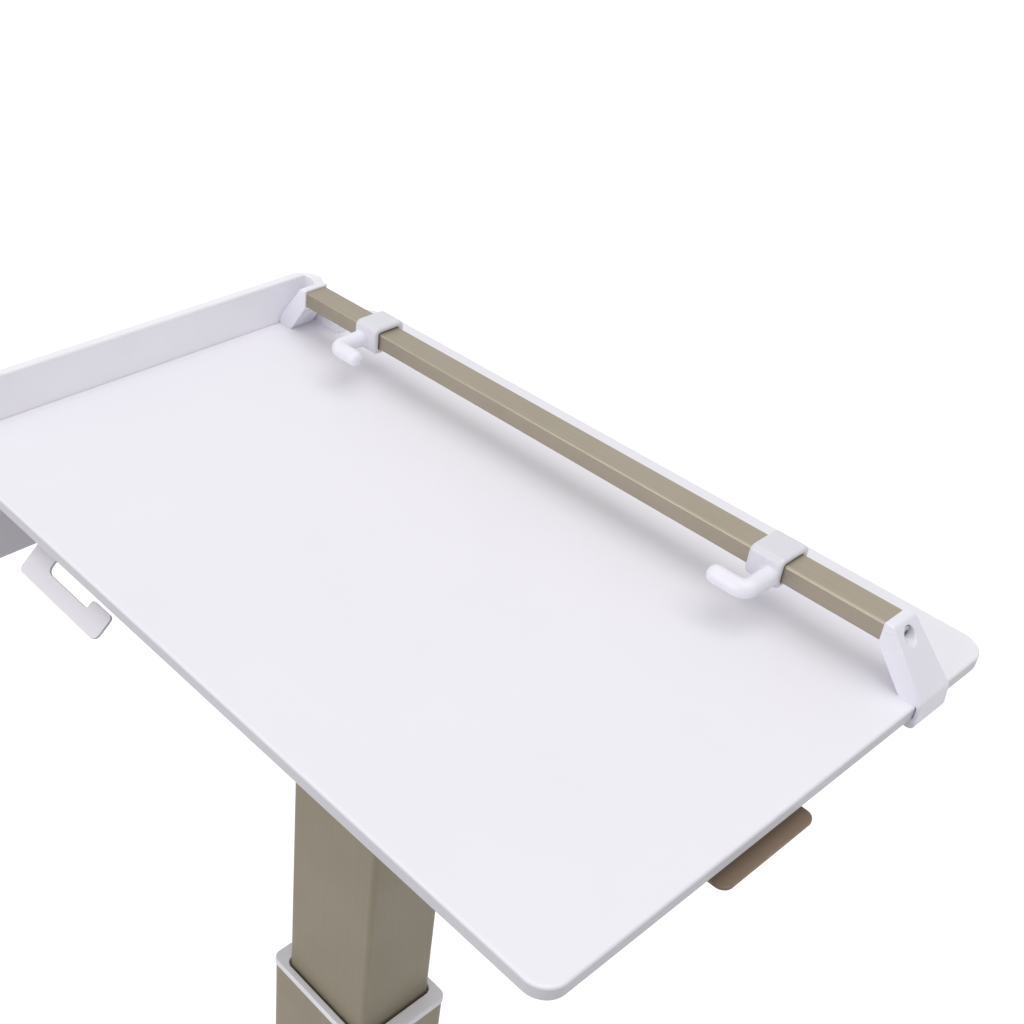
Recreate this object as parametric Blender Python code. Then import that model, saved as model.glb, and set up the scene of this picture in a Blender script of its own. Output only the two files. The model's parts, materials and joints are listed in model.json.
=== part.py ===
"""Height-adjustable laptop cart, modelled with its column raised.

Metres, +Z up. The origin is on the floor under the lift column's axis. +X is the user's right and
+Y points away from the user.
"""

import math

import bmesh
import bpy
from mathutils import Matrix

# Fits between pieces
SEAT_GAP = 0.0003
RUNNING_CLEARANCE = 0.0004
STOP_CLEARANCE = 0.0060

# Casters
CASTER_HALF_SPACING_X = 0.2000
CASTER_FRONT_Y = -0.2275
CASTER_REAR_Y = 0.1815
CASTER_TRAIL = 0.0260
WHEEL_RADIUS = 0.0500
TYRE_DEPTH = 0.0095
TYRE_WIDTH = 0.0260
TYRE_SHOULDER = 0.0060
WHEEL_HUB_RADIUS = 0.0140
WHEEL_HUB_LENGTH = 0.0300
WHEEL_WEB_THICKNESS = 0.0080
WHEEL_RIM_DEPTH = 0.0045
WHEEL_RIM_WIDTH = 0.0220
AXLE_RADIUS = 0.0040
AXLE_HEAD_RADIUS = 0.0065
AXLE_HEAD_HEIGHT = 0.0020
CROWN_CLEARANCE = 0.0060
CROWN_THICKNESS = 0.0060
CROWN_RADIUS = 0.0240
CHEEK_THICKNESS = 0.0040
CHEEK_BOSS_RADIUS = 0.0115
STEM_RADIUS = 0.0060
STEM_LENGTH = 0.0220

# Brake pedals of the front casters
BRAKE_PIVOT_DISTANCE = 0.0580
BRAKE_PIVOT_ANGLE = math.radians(50.0)
BRAKE_TRAVEL = math.radians(20.0)
BRAKE_BARREL_RADIUS = 0.0045
BRAKE_TRUNNION_RADIUS = 0.0028
BRAKE_EAR_RADIUS = 0.0070
BRAKE_PADDLE_LENGTH = 0.0320
BRAKE_PADDLE_THICKNESS = 0.0040
BRAKE_LUG_WIDTH = 0.0120
BRAKE_LUG_CLEARANCE = 0.0006

# Base casting
BASE_THICKNESS = 0.0320
BASE_EDGE_ROUND = 0.0050
BASE_PAD_RADIUS = 0.0300
BASE_ARM_ROOT_DISTANCE = 0.0850
BASE_ARM_ROOT_HALF_WIDTH = 0.0350
BASE_HUB_FLOOR = 0.0120
BASE_BOSS_HEIGHT = 0.0300
BASE_BOSS_WALL = 0.0100
BASE_TRIM_HEIGHT = 0.0050
BASE_TRIM_OVERHANG = 0.0015
FOOT_SCREW_RADIUS = 0.0040
FOOT_SCREW_HEAD_RADIUS = 0.0065
FOOT_SCREW_HEAD_HEIGHT = 0.0050
FOOT_SCREW_SPACING = 0.0560

# Telescopic column
INNER_COLUMN_WIDTH = 0.0845
INNER_COLUMN_DEPTH = 0.0665
INNER_COLUMN_WALL = 0.0030
INNER_COLUMN_RADIUS = 0.0090
INNER_COLUMN_LENGTH = 0.5820
OUTER_COLUMN_WALL = 0.0035
OUTER_COLUMN_RADIUS = 0.0100
OUTER_COLUMN_LENGTH = 0.5490
GLIDE_SIDE_THICKNESS = 0.0078
GLIDE_FRONT_THICKNESS = 0.0020
UPPER_GLIDE_HEIGHT = 0.0350
LOWER_GLIDE_HEIGHT = 0.0400
COLLAR_HEIGHT = 0.0060
COLLAR_OVERHANG = 0.0008
COLLAR_OPENING_GAP = 0.0020
FOOT_PLATE_THICKNESS = 0.0100
HEAD_THICKNESS = 0.0100
LIFT_TRAVEL_DOWN = 0.3450
LIFT_TRAVEL_UP = 0.0800

# Gas spring inside the column
GAS_CYLINDER_RADIUS = 0.0140
GAS_CYLINDER_WALL = 0.0015
GAS_CYLINDER_LENGTH = 0.5000
GAS_CYLINDER_END = 0.0120
GAS_ROD_RADIUS = 0.0050
GAS_ROD_SEAT_DEPTH = 0.0050
GAS_PISTON_HEIGHT = 0.0100
GAS_STUD_RADIUS = 0.0040
GAS_STUD_LENGTH = 0.0060

# Worktop and the steel frame under it
WORKTOP_RIGHT_X = 0.2677
WORKTOP_WIDTH = 0.5324
WORKTOP_FRONT_Y = -0.1525
WORKTOP_DEPTH = 0.3570
WORKTOP_THICKNESS = 0.0090
WORKTOP_FRONT_RADIUS = 0.0130
WORKTOP_REAR_RADIUS = 0.0180
WORKTOP_REAR_LEFT_RADIUS = 0.0500
WORKTOP_EDGE_ROUND = 0.0022
WORKTOP_SEAT_DEPTH = 0.0010
FRAME_PLATE_THICKNESS = 0.0030
FRAME_WIDTH = 0.1800
FRAME_DEPTH = 0.1700
FRAME_FLANGE_HEIGHT = 0.0180
FRAME_SCREW_SPACING = 0.0480
FRAME_SCREW_RADIUS = 0.0030
FRAME_SCREW_HEAD_RADIUS = 0.0055
FRAME_SCREW_LENGTH = 0.0110
WORKTOP_SCREW_INSET = 0.0200
WORKTOP_SCREW_RADIUS = 0.0020
WORKTOP_SCREW_HEAD_RADIUS = 0.0040
WORKTOP_SCREW_HEAD_HEIGHT = 0.0025
WORKTOP_SCREW_BITE = 0.0060

# Left side panel: a fence above the worktop and a skirt below it
SIDE_PANEL_THICKNESS = 0.0075
FENCE_HEIGHT = 0.0330
FENCE_RETURN_RADIUS = 0.0160
FENCE_RETURN_REACH = 0.0320
FENCE_INSIDE_RADIUS = 0.0018
FENCE_STRAIGHT_LENGTH = 0.2955
FENCE_RIM_ROUND = 0.0022
SKIRT_DEPTH = 0.1090
SKIRT_CORNER_RADIUS = 0.0120
SIDE_SCREW_RADIUS = 0.0020
SIDE_SCREW_HEAD_RADIUS = 0.0038
SIDE_SCREW_LENGTH = 0.0180
SIDE_SCREW_FRONT_OFFSET = 0.0500
SIDE_SCREW_SPACING = 0.1600

# Security bar and its end brackets
BAR_DEPTH = 0.0180
BAR_HEIGHT = 0.0120
BAR_LIFT = 0.0240
BAR_FRONT_Y = 0.1290
BAR_EDGE_RADIUS = 0.0012
BAR_SCREW_DEPTH = 0.0140
BRACKET_REACH = 0.0295
BRACKET_POCKET_DEPTH = 0.0030
BRACKET_POCKET_FLOOR = 0.0025
BRACKET_TOP_WIDTH = 0.0055
BRACKET_TOP_COVER = 0.0015
BRACKET_CHIN = 0.0005
BRACKET_SLOPE = 1.3400
BRACKET_FOOT = 0.0105
BRACKET_SEAT_MARGIN = 0.0020
BRACKET_LIP_WALL = 0.0022
BRACKET_LIP_THICKNESS = 0.0063
BRACKET_LIP_RADIUS = 0.0030
BRACKET_FRONT_MARGIN = 0.0015
BRACKET_REAR_MARGIN = 0.0015
BRACKET_FLARE = 0.0110
BAR_SCREW_RADIUS = 0.0022
BAR_SCREW_HEAD_RADIUS = 0.0042
BAR_SCREW_HEAD_HEIGHT = 0.0022

# Hooks on the security bar
HOOK_CENTRE_X = 0.1662
HOOK_SLEEVE_LENGTH = 0.0215
HOOK_SLEEVE_WALL = 0.0035
HOOK_SLEEVE_RADIUS = 0.0030
HOOK_ARM_RADIUS = 0.0050
HOOK_ARM_OFFSET = 0.0055
HOOK_ARM_DROP = 0.0030
HOOK_REACH = 0.0252
HOOK_FINGER_LENGTH = 0.0200
HOOK_BEND_RADIUS = 0.0060
HOOK_SCREW_RADIUS = 0.0020

# Mouse tray and its rails
TRAY_CENTRE_Y = 0.0030
TRAY_WIDTH = 0.1900
TRAY_INNER_X = 0.1005
TRAY_BODY_LENGTH = 0.1575
TRAY_THICKNESS = 0.0025
TRAY_DROP = 0.0097
TRAY_CORNER_RADIUS = 0.0060
TRAY_TAB_WIDTH = 0.0736
TRAY_TAB_REACH = 0.0145
TRAY_TAB_RADIUS = 0.0080
TRAY_TRAVEL = 0.1250
RAIL_INNER_X = 0.1000
RAIL_LENGTH = 0.1500
RAIL_WIDTH = 0.0120
RAIL_GROOVE_DEPTH = 0.0060
RAIL_LOWER_LIP = 0.0040
STOP_SCREW_INSET = 0.0180
STOP_SCREW_RADIUS = 0.0025
STOP_SCREW_HEAD_RADIUS = 0.0050
STOP_SCREW_HEAD_HEIGHT = 0.0025

# Lift lever: a bent sheet whose paddle shows below the worktop's front edge
LEVER_LEFT_X = -0.1529
LEVER_WIDTH = 0.0848
LEVER_ARM_WIDTH = 0.0208
LEVER_UPSTAND_WIDTH = 0.0202
LEVER_SHEET = 0.0030
LEVER_TILT = math.radians(41.0)
LEVER_PADDLE_LENGTH = 0.0188
LEVER_SLOT_DEPTH = 0.0078
LEVER_UPSTAND_TOP = 0.0016
LEVER_BEND_SETBACK = 0.0071
LEVER_DROP = 0.0110
LEVER_ARM_LENGTH = 0.0420
LEVER_BARREL_RADIUS = 0.0050
LEVER_PIN_RADIUS = 0.0020
LEVER_EAR_THICKNESS = 0.0025
LEVER_EAR_RADIUS = 0.0060
LEVER_PLATE_THICKNESS = 0.0030

# Heights that follow from the pieces below them
CROWN_BOTTOM_Z = 2.0 * WHEEL_RADIUS + CROWN_CLEARANCE
CROWN_TOP_Z = CROWN_BOTTOM_Z + CROWN_THICKNESS
BASE_BOTTOM_Z = CROWN_TOP_Z + RUNNING_CLEARANCE
BASE_TOP_Z = BASE_BOTTOM_Z + BASE_THICKNESS
BOSS_TOP_Z = BASE_TOP_Z + BASE_BOSS_HEIGHT
POCKET_FLOOR_Z = BASE_BOTTOM_Z + BASE_HUB_FLOOR
OUTER_COLUMN_BOTTOM_Z = POCKET_FLOOR_Z + SEAT_GAP
OUTER_COLUMN_TOP_Z = OUTER_COLUMN_BOTTOM_Z + OUTER_COLUMN_LENGTH
FOOT_PLATE_TOP_Z = OUTER_COLUMN_BOTTOM_Z + FOOT_PLATE_THICKNESS
INNER_COLUMN_BOTTOM_Z = FOOT_PLATE_TOP_Z + STOP_CLEARANCE + LIFT_TRAVEL_DOWN
INNER_COLUMN_TOP_Z = INNER_COLUMN_BOTTOM_Z + INNER_COLUMN_LENGTH
GAS_CYLINDER_TOP_Z = INNER_COLUMN_TOP_Z - HEAD_THICKNESS - SEAT_GAP
GAS_CYLINDER_BOTTOM_Z = GAS_CYLINDER_TOP_Z - GAS_CYLINDER_LENGTH
FRAME_BOTTOM_Z = INNER_COLUMN_TOP_Z + SEAT_GAP
FRAME_TOP_Z = FRAME_BOTTOM_Z + FRAME_PLATE_THICKNESS
WORKTOP_BOTTOM_Z = FRAME_TOP_Z + SEAT_GAP
WORKTOP_TOP_Z = WORKTOP_BOTTOM_Z + WORKTOP_THICKNESS
BAR_BOTTOM_Z = WORKTOP_TOP_Z + BAR_LIFT
BAR_TOP_Z = BAR_BOTTOM_Z + BAR_HEIGHT
BAR_CENTRE_Z = BAR_BOTTOM_Z + BAR_HEIGHT / 2.0
TRAY_TOP_Z = WORKTOP_BOTTOM_Z - TRAY_DROP
TRAY_BOTTOM_Z = TRAY_TOP_Z - TRAY_THICKNESS

# Plan positions that follow from the pieces beside them
OUTER_BORE_WIDTH = INNER_COLUMN_WIDTH + 2.0 * (GLIDE_SIDE_THICKNESS + SEAT_GAP + RUNNING_CLEARANCE)
OUTER_BORE_DEPTH = INNER_COLUMN_DEPTH + 2.0 * (GLIDE_FRONT_THICKNESS + SEAT_GAP + RUNNING_CLEARANCE)
OUTER_COLUMN_WIDTH = OUTER_BORE_WIDTH + 2.0 * OUTER_COLUMN_WALL
OUTER_COLUMN_DEPTH = OUTER_BORE_DEPTH + 2.0 * OUTER_COLUMN_WALL
WORKTOP_LEFT_X = WORKTOP_RIGHT_X - WORKTOP_WIDTH
WORKTOP_REAR_Y = WORKTOP_FRONT_Y + WORKTOP_DEPTH
SIDE_PANEL_INNER_X = WORKTOP_LEFT_X - SEAT_GAP
SIDE_PANEL_OUTER_X = SIDE_PANEL_INNER_X - SIDE_PANEL_THICKNESS
BAR_REAR_Y = BAR_FRONT_Y + BAR_DEPTH
BAR_CENTRE_Y = BAR_FRONT_Y + BAR_DEPTH / 2.0
RIGHT_BRACKET_INBOARD = WORKTOP_RIGHT_X - BRACKET_REACH
LEFT_BRACKET_INBOARD = -WORKTOP_LEFT_X - BRACKET_REACH
BRACKET_FRONT_Y = BAR_FRONT_Y - BRACKET_FRONT_MARGIN
BRACKET_REAR_Y = BAR_REAR_Y + BRACKET_REAR_MARGIN
BRACKET_TOP_Z = BAR_TOP_Z + BRACKET_TOP_COVER
BRACKET_BOTTOM_Z = WORKTOP_BOTTOM_Z - SEAT_GAP - BRACKET_LIP_THICKNESS
RIGHT_BRACKET_WEB = WORKTOP_RIGHT_X + SEAT_GAP
LEFT_BRACKET_WEB = -WORKTOP_LEFT_X - BRACKET_LIP_WALL
FENCE_TURN_Y = WORKTOP_FRONT_Y + FENCE_STRAIGHT_LENGTH
FENCE_BACK_Y = FENCE_TURN_Y + FENCE_RETURN_RADIUS
FENCE_RETURN_FRONT_Y = FENCE_BACK_Y - SIDE_PANEL_THICKNESS
FENCE_RETURN_END_X = SIDE_PANEL_OUTER_X + FENCE_RETURN_RADIUS + FENCE_RETURN_REACH
FORK_HALF_GAP = WHEEL_HUB_LENGTH / 2.0 + RUNNING_CLEARANCE
FORK_HALF_WIDTH = FORK_HALF_GAP + CHEEK_THICKNESS
STOP_SCREW_X = TRAY_INNER_X + TRAY_BODY_LENGTH - STOP_SCREW_INSET
LEVER_ARM_CENTRE_X = LEVER_LEFT_X + LEVER_ARM_WIDTH / 2.0
LEVER_BEND_Y = WORKTOP_FRONT_Y + LEVER_BEND_SETBACK
LEVER_BEND_Z = WORKTOP_BOTTOM_Z - LEVER_DROP
LEVER_PIVOT_Y = LEVER_BEND_Y + LEVER_ARM_LENGTH

ARC_STEPS = 4
ROUND_STEPS = 24
WHEEL_STEPS = 32
SCREW_STEPS = 12


# Outlines in the plane

def filleted(corners, steps=ARC_STEPS):
    """Return the outline through (u, v, radius) corners, each rounded by its radius."""
    outline = []
    count = len(corners)
    for index, (u, v, radius) in enumerate(corners):
        if radius == 0.0:
            outline.append((u, v))
            continue
        before = corners[index - 1]
        after = corners[(index + 1) % count]
        angle_in = math.atan2(before[1] - v, before[0] - u)
        angle_out = math.atan2(after[1] - v, after[0] - u)
        turn = (angle_out - angle_in + math.pi) % (2.0 * math.pi) - math.pi
        half = abs(turn) / 2.0
        reach = radius / math.sin(half)
        middle = angle_in + turn / 2.0
        centre_u = u + reach * math.cos(middle)
        centre_v = v + reach * math.sin(middle)
        sweep = math.copysign(math.pi - 2.0 * half, -turn)
        start = middle + math.pi - sweep / 2.0
        for step in range(steps + 1):
            angle = start + sweep * step / steps
            outline.append((centre_u + radius * math.cos(angle), centre_v + radius * math.sin(angle)))
    return outline


def rectangle(width, depth, radius, centre=(0.0, 0.0), steps=ARC_STEPS):
    """Return a rectangle outline with equal corner radii."""
    half_u = width / 2.0
    half_v = depth / 2.0
    corners = [
        (centre[0] + half_u, centre[1] - half_v, radius),
        (centre[0] + half_u, centre[1] + half_v, radius),
        (centre[0] - half_u, centre[1] + half_v, radius),
        (centre[0] - half_u, centre[1] - half_v, radius),
    ]
    return filleted(corners, steps)


def circle(centre_u, centre_v, radius, steps=ROUND_STEPS):
    """Return a circle outline."""
    angles = [2.0 * math.pi * step / steps for step in range(steps)]
    return [(centre_u + radius * math.cos(a), centre_v + radius * math.sin(a)) for a in angles]


def in_plane(plane, u, v, w):
    """Return the point at (u, v) in a named plane, w along the plane's normal axis."""
    if plane == "XY":
        return (u, v, w)
    if plane == "XZ":
        return (u, w, v)
    return (w, u, v)


# Solids

def extruded(outline, plane, low, high):
    """Return a prism over an outline, between two positions on the plane's normal axis."""
    bm = bmesh.new()
    verts = [bm.verts.new(in_plane(plane, u, v, low)) for u, v in outline]
    face = bm.faces.new(verts)
    grown = bmesh.ops.extrude_face_region(bm, geom=[face])
    moved = [item for item in grown["geom"] if isinstance(item, bmesh.types.BMVert)]
    bmesh.ops.translate(bm, verts=moved, vec=in_plane(plane, 0.0, 0.0, high - low))
    bmesh.ops.recalc_face_normals(bm, faces=bm.faces)
    return bm


def tube(outer, inner, plane, low, high):
    """Return a prism with a through hole; both outlines have the same number of points."""
    bm = bmesh.new()
    rings = []
    for outline, position in ((outer, low), (outer, high), (inner, high), (inner, low)):
        rings.append([bm.verts.new(in_plane(plane, u, v, position)) for u, v in outline])
    count = len(outer)
    for index in range(4):
        ring = rings[index]
        following = rings[(index + 1) % 4]
        for step in range(count):
            after = (step + 1) % count
            bm.faces.new((ring[step], ring[after], following[after], following[step]))
    bmesh.ops.recalc_face_normals(bm, faces=bm.faces)
    return bm


def turned(profile, axis="Z", centre=(0.0, 0.0, 0.0), steps=ROUND_STEPS):
    """Return a solid of revolution from (radius, position along the axis) points.

    A profile that starts and ends at radius 0 makes a solid; otherwise it closes on itself as a ring.
    """
    bm = bmesh.new()
    rings = []
    for radius, height in profile:
        if radius == 0.0:
            rings.append([bm.verts.new((0.0, 0.0, height))])
        else:
            rings.append([bm.verts.new((u, v, height)) for u, v in circle(0.0, 0.0, radius, steps)])
    pairs = list(zip(rings, rings[1:]))
    if profile[0][0] > 0.0:
        pairs.append((rings[-1], rings[0]))
    for ring, following in pairs:
        for step in range(steps):
            after = (step + 1) % steps
            corners = [ring[step % len(ring)], ring[after % len(ring)]]
            corners += [following[after % len(following)], following[step % len(following)]]
            bm.faces.new(list(dict.fromkeys(corners)))
    bmesh.ops.recalc_face_normals(bm, faces=bm.faces)
    turns = {"Z": Matrix.Identity(4), "X": Matrix.Rotation(math.pi / 2.0, 4, "Y"),
             "-X": Matrix.Rotation(-math.pi / 2.0, 4, "Y"), "-Z": Matrix.Rotation(math.pi, 4, "X")}
    bmesh.ops.transform(bm, matrix=Matrix.Translation(centre) @ turns[axis], verts=bm.verts)
    return bm


def swept_rod(path, radius, height, steps=SCREW_STEPS):
    """Return a round rod along a level path of (x, y) points, flat at its start and domed at its end."""
    stations = []
    for index, (x, y) in enumerate(path):
        before = path[max(index - 1, 0)]
        after = path[min(index + 1, len(path) - 1)]
        heading = math.atan2(after[1] - before[1], after[0] - before[0])
        stations.append((x, y, heading, radius))
    x, y, heading, _ = stations[-1]
    for angle in (math.radians(35.0), math.radians(65.0)):
        ahead = radius * math.sin(angle)
        stations.append((x + ahead * math.cos(heading), y + ahead * math.sin(heading), heading,
                         radius * math.cos(angle)))
    bm = bmesh.new()
    rings = []
    for x, y, heading, ring_radius in stations:
        ring = []
        for u, v in circle(0.0, 0.0, ring_radius, steps):
            ring.append(bm.verts.new((x - u * math.sin(heading), y + u * math.cos(heading), height + v)))
        rings.append(ring)
    for ring, following in zip(rings, rings[1:]):
        for step in range(steps):
            after = (step + 1) % steps
            bm.faces.new((ring[step], ring[after], following[after], following[step]))
    bm.faces.new(rings[0])
    bm.faces.new(rings[-1])
    bmesh.ops.recalc_face_normals(bm, faces=bm.faces)
    return bm


def round_edges(bm, chosen, width, segments=2):
    """Round the edges of a mesh for which chosen(edge) is true."""
    edges = [edge for edge in bm.edges if chosen(edge)]
    bmesh.ops.bevel(bm, geom=edges, offset=width, segments=segments, profile=0.5, affect="EDGES")


def level_at(height):
    """Return a test for edges that lie level at a height."""
    return lambda edge: all(abs(vert.co.z - height) < 1e-6 for vert in edge.verts)


# Objects and materials

def principled(name, colour, roughness, metallic=0.0):
    """Return the named Principled BSDF material, made once."""
    material = bpy.data.materials.get(name)
    if material is None:
        material = bpy.data.materials.new(name)
        material.use_nodes = True
        shader = material.node_tree.nodes["Principled BSDF"]
        shader.inputs["Base Color"].default_value = (*colour, 1.0)
        shader.inputs["Roughness"].default_value = roughness
        shader.inputs["Metallic"].default_value = metallic
        material.diffuse_color = (*colour, 1.0)
    return material


def white_laminate():
    return principled("white_laminate", (0.84, 0.83, 0.88), 0.45)


def white_moulding():
    return principled("white_moulding", (0.80, 0.80, 0.84), 0.40)


def white_powder_coat():
    return principled("white_powder_coat", (0.74, 0.73, 0.76), 0.50)


def champagne_anodised():
    return principled("champagne_anodised", (0.27, 0.24, 0.18), 0.38, 0.85)


def taupe_powder_coat():
    return principled("taupe_powder_coat", (0.14, 0.10, 0.07), 0.55)


def black_oxide_steel():
    return principled("black_oxide_steel", (0.03, 0.03, 0.032), 0.45, 0.9)


def zinc_plated_steel():
    return principled("zinc_plated_steel", (0.55, 0.56, 0.58), 0.32, 1.0)


def chromed_steel():
    return principled("chromed_steel", (0.70, 0.71, 0.72), 0.12, 1.0)


def acetal():
    return principled("acetal", (0.60, 0.60, 0.57), 0.50)


def grey_nylon():
    return principled("grey_nylon", (0.30, 0.30, 0.32), 0.50)


def grey_polyurethane():
    return principled("grey_polyurethane", (0.12, 0.12, 0.125), 0.65)


def add_object(name, bm, material, origin=(0.0, 0.0, 0.0), parent=None):
    """Add a named object whose mesh is given about its parent, with its origin at a point there."""
    bmesh.ops.translate(bm, verts=bm.verts, vec=[-value for value in origin])
    mesh = bpy.data.meshes.new(name)
    bm.to_mesh(mesh)
    bm.free()
    return place_mesh(name, mesh, material, origin, parent)


def place_mesh(name, mesh, material, origin, parent=None):
    """Place a mesh, which other objects may share, as a named object."""
    if not mesh.materials:
        mesh.materials.append(material)
    piece = bpy.data.objects.new(name, mesh)
    piece.location = origin
    piece.parent = parent
    bpy.context.scene.collection.objects.link(piece)
    return piece


def combine(piece, tool, operation="DIFFERENCE"):
    """Cut a tool mesh from a piece, or unite it with the piece, and keep the result as its mesh."""
    cutter = add_object(piece.name + "_tool", tool, white_moulding())
    cutter.hide_render = True
    cutter.display_type = "WIRE"
    cutter.matrix_world = Matrix.Translation(piece.location)
    modifier = piece.modifiers.new("combine", "BOOLEAN")
    modifier.solver = "EXACT"
    modifier.operation = operation
    modifier.object = cutter
    parent = piece.parent
    piece.parent = None
    bpy.context.view_layer.update()
    graph = bpy.context.evaluated_depsgraph_get()
    result = bpy.data.meshes.new_from_object(piece.evaluated_get(graph))
    piece.modifiers.remove(modifier)
    spare = piece.data
    piece.data = result
    result.name = piece.name
    bpy.data.meshes.remove(spare)
    bpy.data.objects.remove(cutter)
    piece.parent = parent


def cut(piece, tool):
    """Cut a mesh given in the same coordinates as the piece's own mesh was."""
    bmesh.ops.translate(tool, verts=tool.verts, vec=[-value for value in piece.location])
    combine(piece, tool)


def unite(piece, tool):
    """Join a mesh given in the same coordinates as the piece's own mesh was."""
    bmesh.ops.translate(tool, verts=tool.verts, vec=[-value for value in piece.location])
    combine(piece, tool, "UNION")


def shade(piece, angle=35.0):
    """Shade a piece smooth, with its sharp edges kept."""
    piece.data.shade_smooth()
    piece.data.set_sharp_from_angle(angle=math.radians(angle))


def box(x_range, y_range, z_range):
    """Return a rectangular block between three pairs of limits."""
    outline = [(x_range[0], y_range[0]), (x_range[1], y_range[0]),
               (x_range[1], y_range[1]), (x_range[0], y_range[1])]
    return extruded(outline, "XY", z_range[0], z_range[1])


def drill(radius, start, end, axis, centre, steps=SCREW_STEPS):
    """Return a round cutter between two positions along X or Z through a centre point."""
    profile = [(0.0, start), (radius, start), (radius, end), (0.0, end)]
    return turned(profile, axis, centre, steps)


# Fasteners

def socket_head_screw(head_radius, head_height, radius, length, axis, centre):
    """Return a screw whose head's underside is at the centre and whose shank runs back along the axis."""
    profile = [(0.0, -length), (radius, -length), (radius, 0.0), (head_radius, 0.0),
               (head_radius, head_height), (0.5 * head_radius, head_height),
               (0.5 * head_radius, 0.45 * head_height), (0.0, 0.45 * head_height)]
    return turned(profile, axis, centre, SCREW_STEPS)


def countersunk_profile(head_radius, radius, length, top, extra=0.0):
    """Return the profile of a countersunk screw with its face at 0, or of its hole with extra room."""
    depth = head_radius - radius
    return [(0.0, -length - extra), (radius + extra, -length - extra), (radius + extra, -depth),
            (head_radius + extra, 0.0), (head_radius + extra, top), (0.0, top)]


def countersunk_screw(head_radius, radius, length, axis, centre):
    """Return a countersunk screw with a recess in its flat face at the centre."""
    depth = head_radius - radius
    recess = 0.5 * head_radius
    profile = [(0.0, -length), (radius, -length), (radius, -depth), (head_radius, 0.0),
               (recess, 0.0), (recess, -0.6 * depth), (0.0, -0.6 * depth)]
    return turned(profile, axis, centre, SCREW_STEPS)


# Casters and their brakes

def brake_pivot():
    """Return the (y, z) of a brake's pivot about its caster's swivel axis at floor level."""
    return (CASTER_TRAIL + BRAKE_PIVOT_DISTANCE * math.cos(BRAKE_PIVOT_ANGLE),
            WHEEL_RADIUS + BRAKE_PIVOT_DISTANCE * math.sin(BRAKE_PIVOT_ANGLE))


def cheek_outline(braked):
    """Return a fork cheek's side outline, with an ear for the brake's trunnion where it is braked."""
    top = CROWN_BOTTOM_Z + CROWN_THICKNESS / 2.0
    half = 0.8 * CROWN_RADIUS
    boss = CHEEK_BOSS_RADIUS
    corners = [
        (-half, top, 0.0),
        (-half, top - WHEEL_RADIUS / 2.0, 0.012),
        (CASTER_TRAIL - boss, WHEEL_RADIUS - boss, 0.9 * boss),
        (CASTER_TRAIL + boss, WHEEL_RADIUS - boss, 0.9 * boss),
        (CASTER_TRAIL + boss, WHEEL_RADIUS + boss, 0.006),
    ]
    if braked:
        pivot_y, pivot_z = brake_pivot()
        ear = BRAKE_EAR_RADIUS
        corners += [(pivot_y + ear, pivot_z - ear, 0.9 * ear), (pivot_y + ear, pivot_z + ear, 0.9 * ear),
                    (pivot_y - ear, top, 0.0)]
    else:
        corners += [(half, top, 0.0)]
    return filleted(corners)


def fork_mesh(name, braked):
    """Return the mesh of a caster's swivelling fork, with its stem, about the foot of its swivel axis."""
    crown = [(0.0, CROWN_BOTTOM_Z), (CROWN_RADIUS, CROWN_BOTTOM_Z), (CROWN_RADIUS, CROWN_TOP_Z),
             (STEM_RADIUS, CROWN_TOP_Z), (STEM_RADIUS, CROWN_TOP_Z + STEM_LENGTH),
             (0.0, CROWN_TOP_Z + STEM_LENGTH)]
    fork = add_object(name, turned(crown), grey_nylon())
    for side in (-1.0, 1.0):
        faces = sorted((side * FORK_HALF_GAP, side * FORK_HALF_WIDTH))
        unite(fork, extruded(cheek_outline(braked), "YZ", faces[0], faces[1]))
    reach = FORK_HALF_WIDTH + SEAT_GAP
    centre = (0.0, CASTER_TRAIL, WHEEL_RADIUS)
    cut(fork, drill(AXLE_RADIUS + SEAT_GAP, -reach, reach, "X", centre))
    if braked:
        centre = (0.0, *brake_pivot())
        cut(fork, drill(BRAKE_TRUNNION_RADIUS + RUNNING_CLEARANCE, -reach, reach, "X", centre))
    shade(fork)
    mesh = fork.data
    bpy.data.objects.remove(fork)
    return mesh


def wheel_core_profile():
    """Return the half section of a wheel's core, from its bore out to its rim."""
    bore = AXLE_RADIUS + RUNNING_CLEARANCE
    rim = WHEEL_RADIUS - TYRE_DEPTH - SEAT_GAP
    half_hub = WHEEL_HUB_LENGTH / 2.0
    half_web = WHEEL_WEB_THICKNESS / 2.0
    half_rim = WHEEL_RIM_WIDTH / 2.0
    inner_rim = rim - WHEEL_RIM_DEPTH
    return [(bore, -half_hub), (WHEEL_HUB_RADIUS, -half_hub), (WHEEL_HUB_RADIUS, -half_web),
            (inner_rim, -half_web), (inner_rim, -half_rim), (rim, -half_rim), (rim, half_rim),
            (inner_rim, half_rim), (inner_rim, half_web), (WHEEL_HUB_RADIUS, half_web),
            (WHEEL_HUB_RADIUS, half_hub), (bore, half_hub)]


def tyre_profile():
    """Return the half section of a tyre with rounded shoulders."""
    seat = WHEEL_RADIUS - TYRE_DEPTH
    half = TYRE_WIDTH / 2.0
    shoulder = TYRE_SHOULDER
    points = [(seat, -half)]
    for step in range(4):
        angle = math.radians(30.0 * step)
        points.append((WHEEL_RADIUS - shoulder * (1.0 - math.sin(angle)), -half + shoulder * (1.0 - math.cos(angle))))
    return points + [(radius, -position) for radius, position in reversed(points)]


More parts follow.
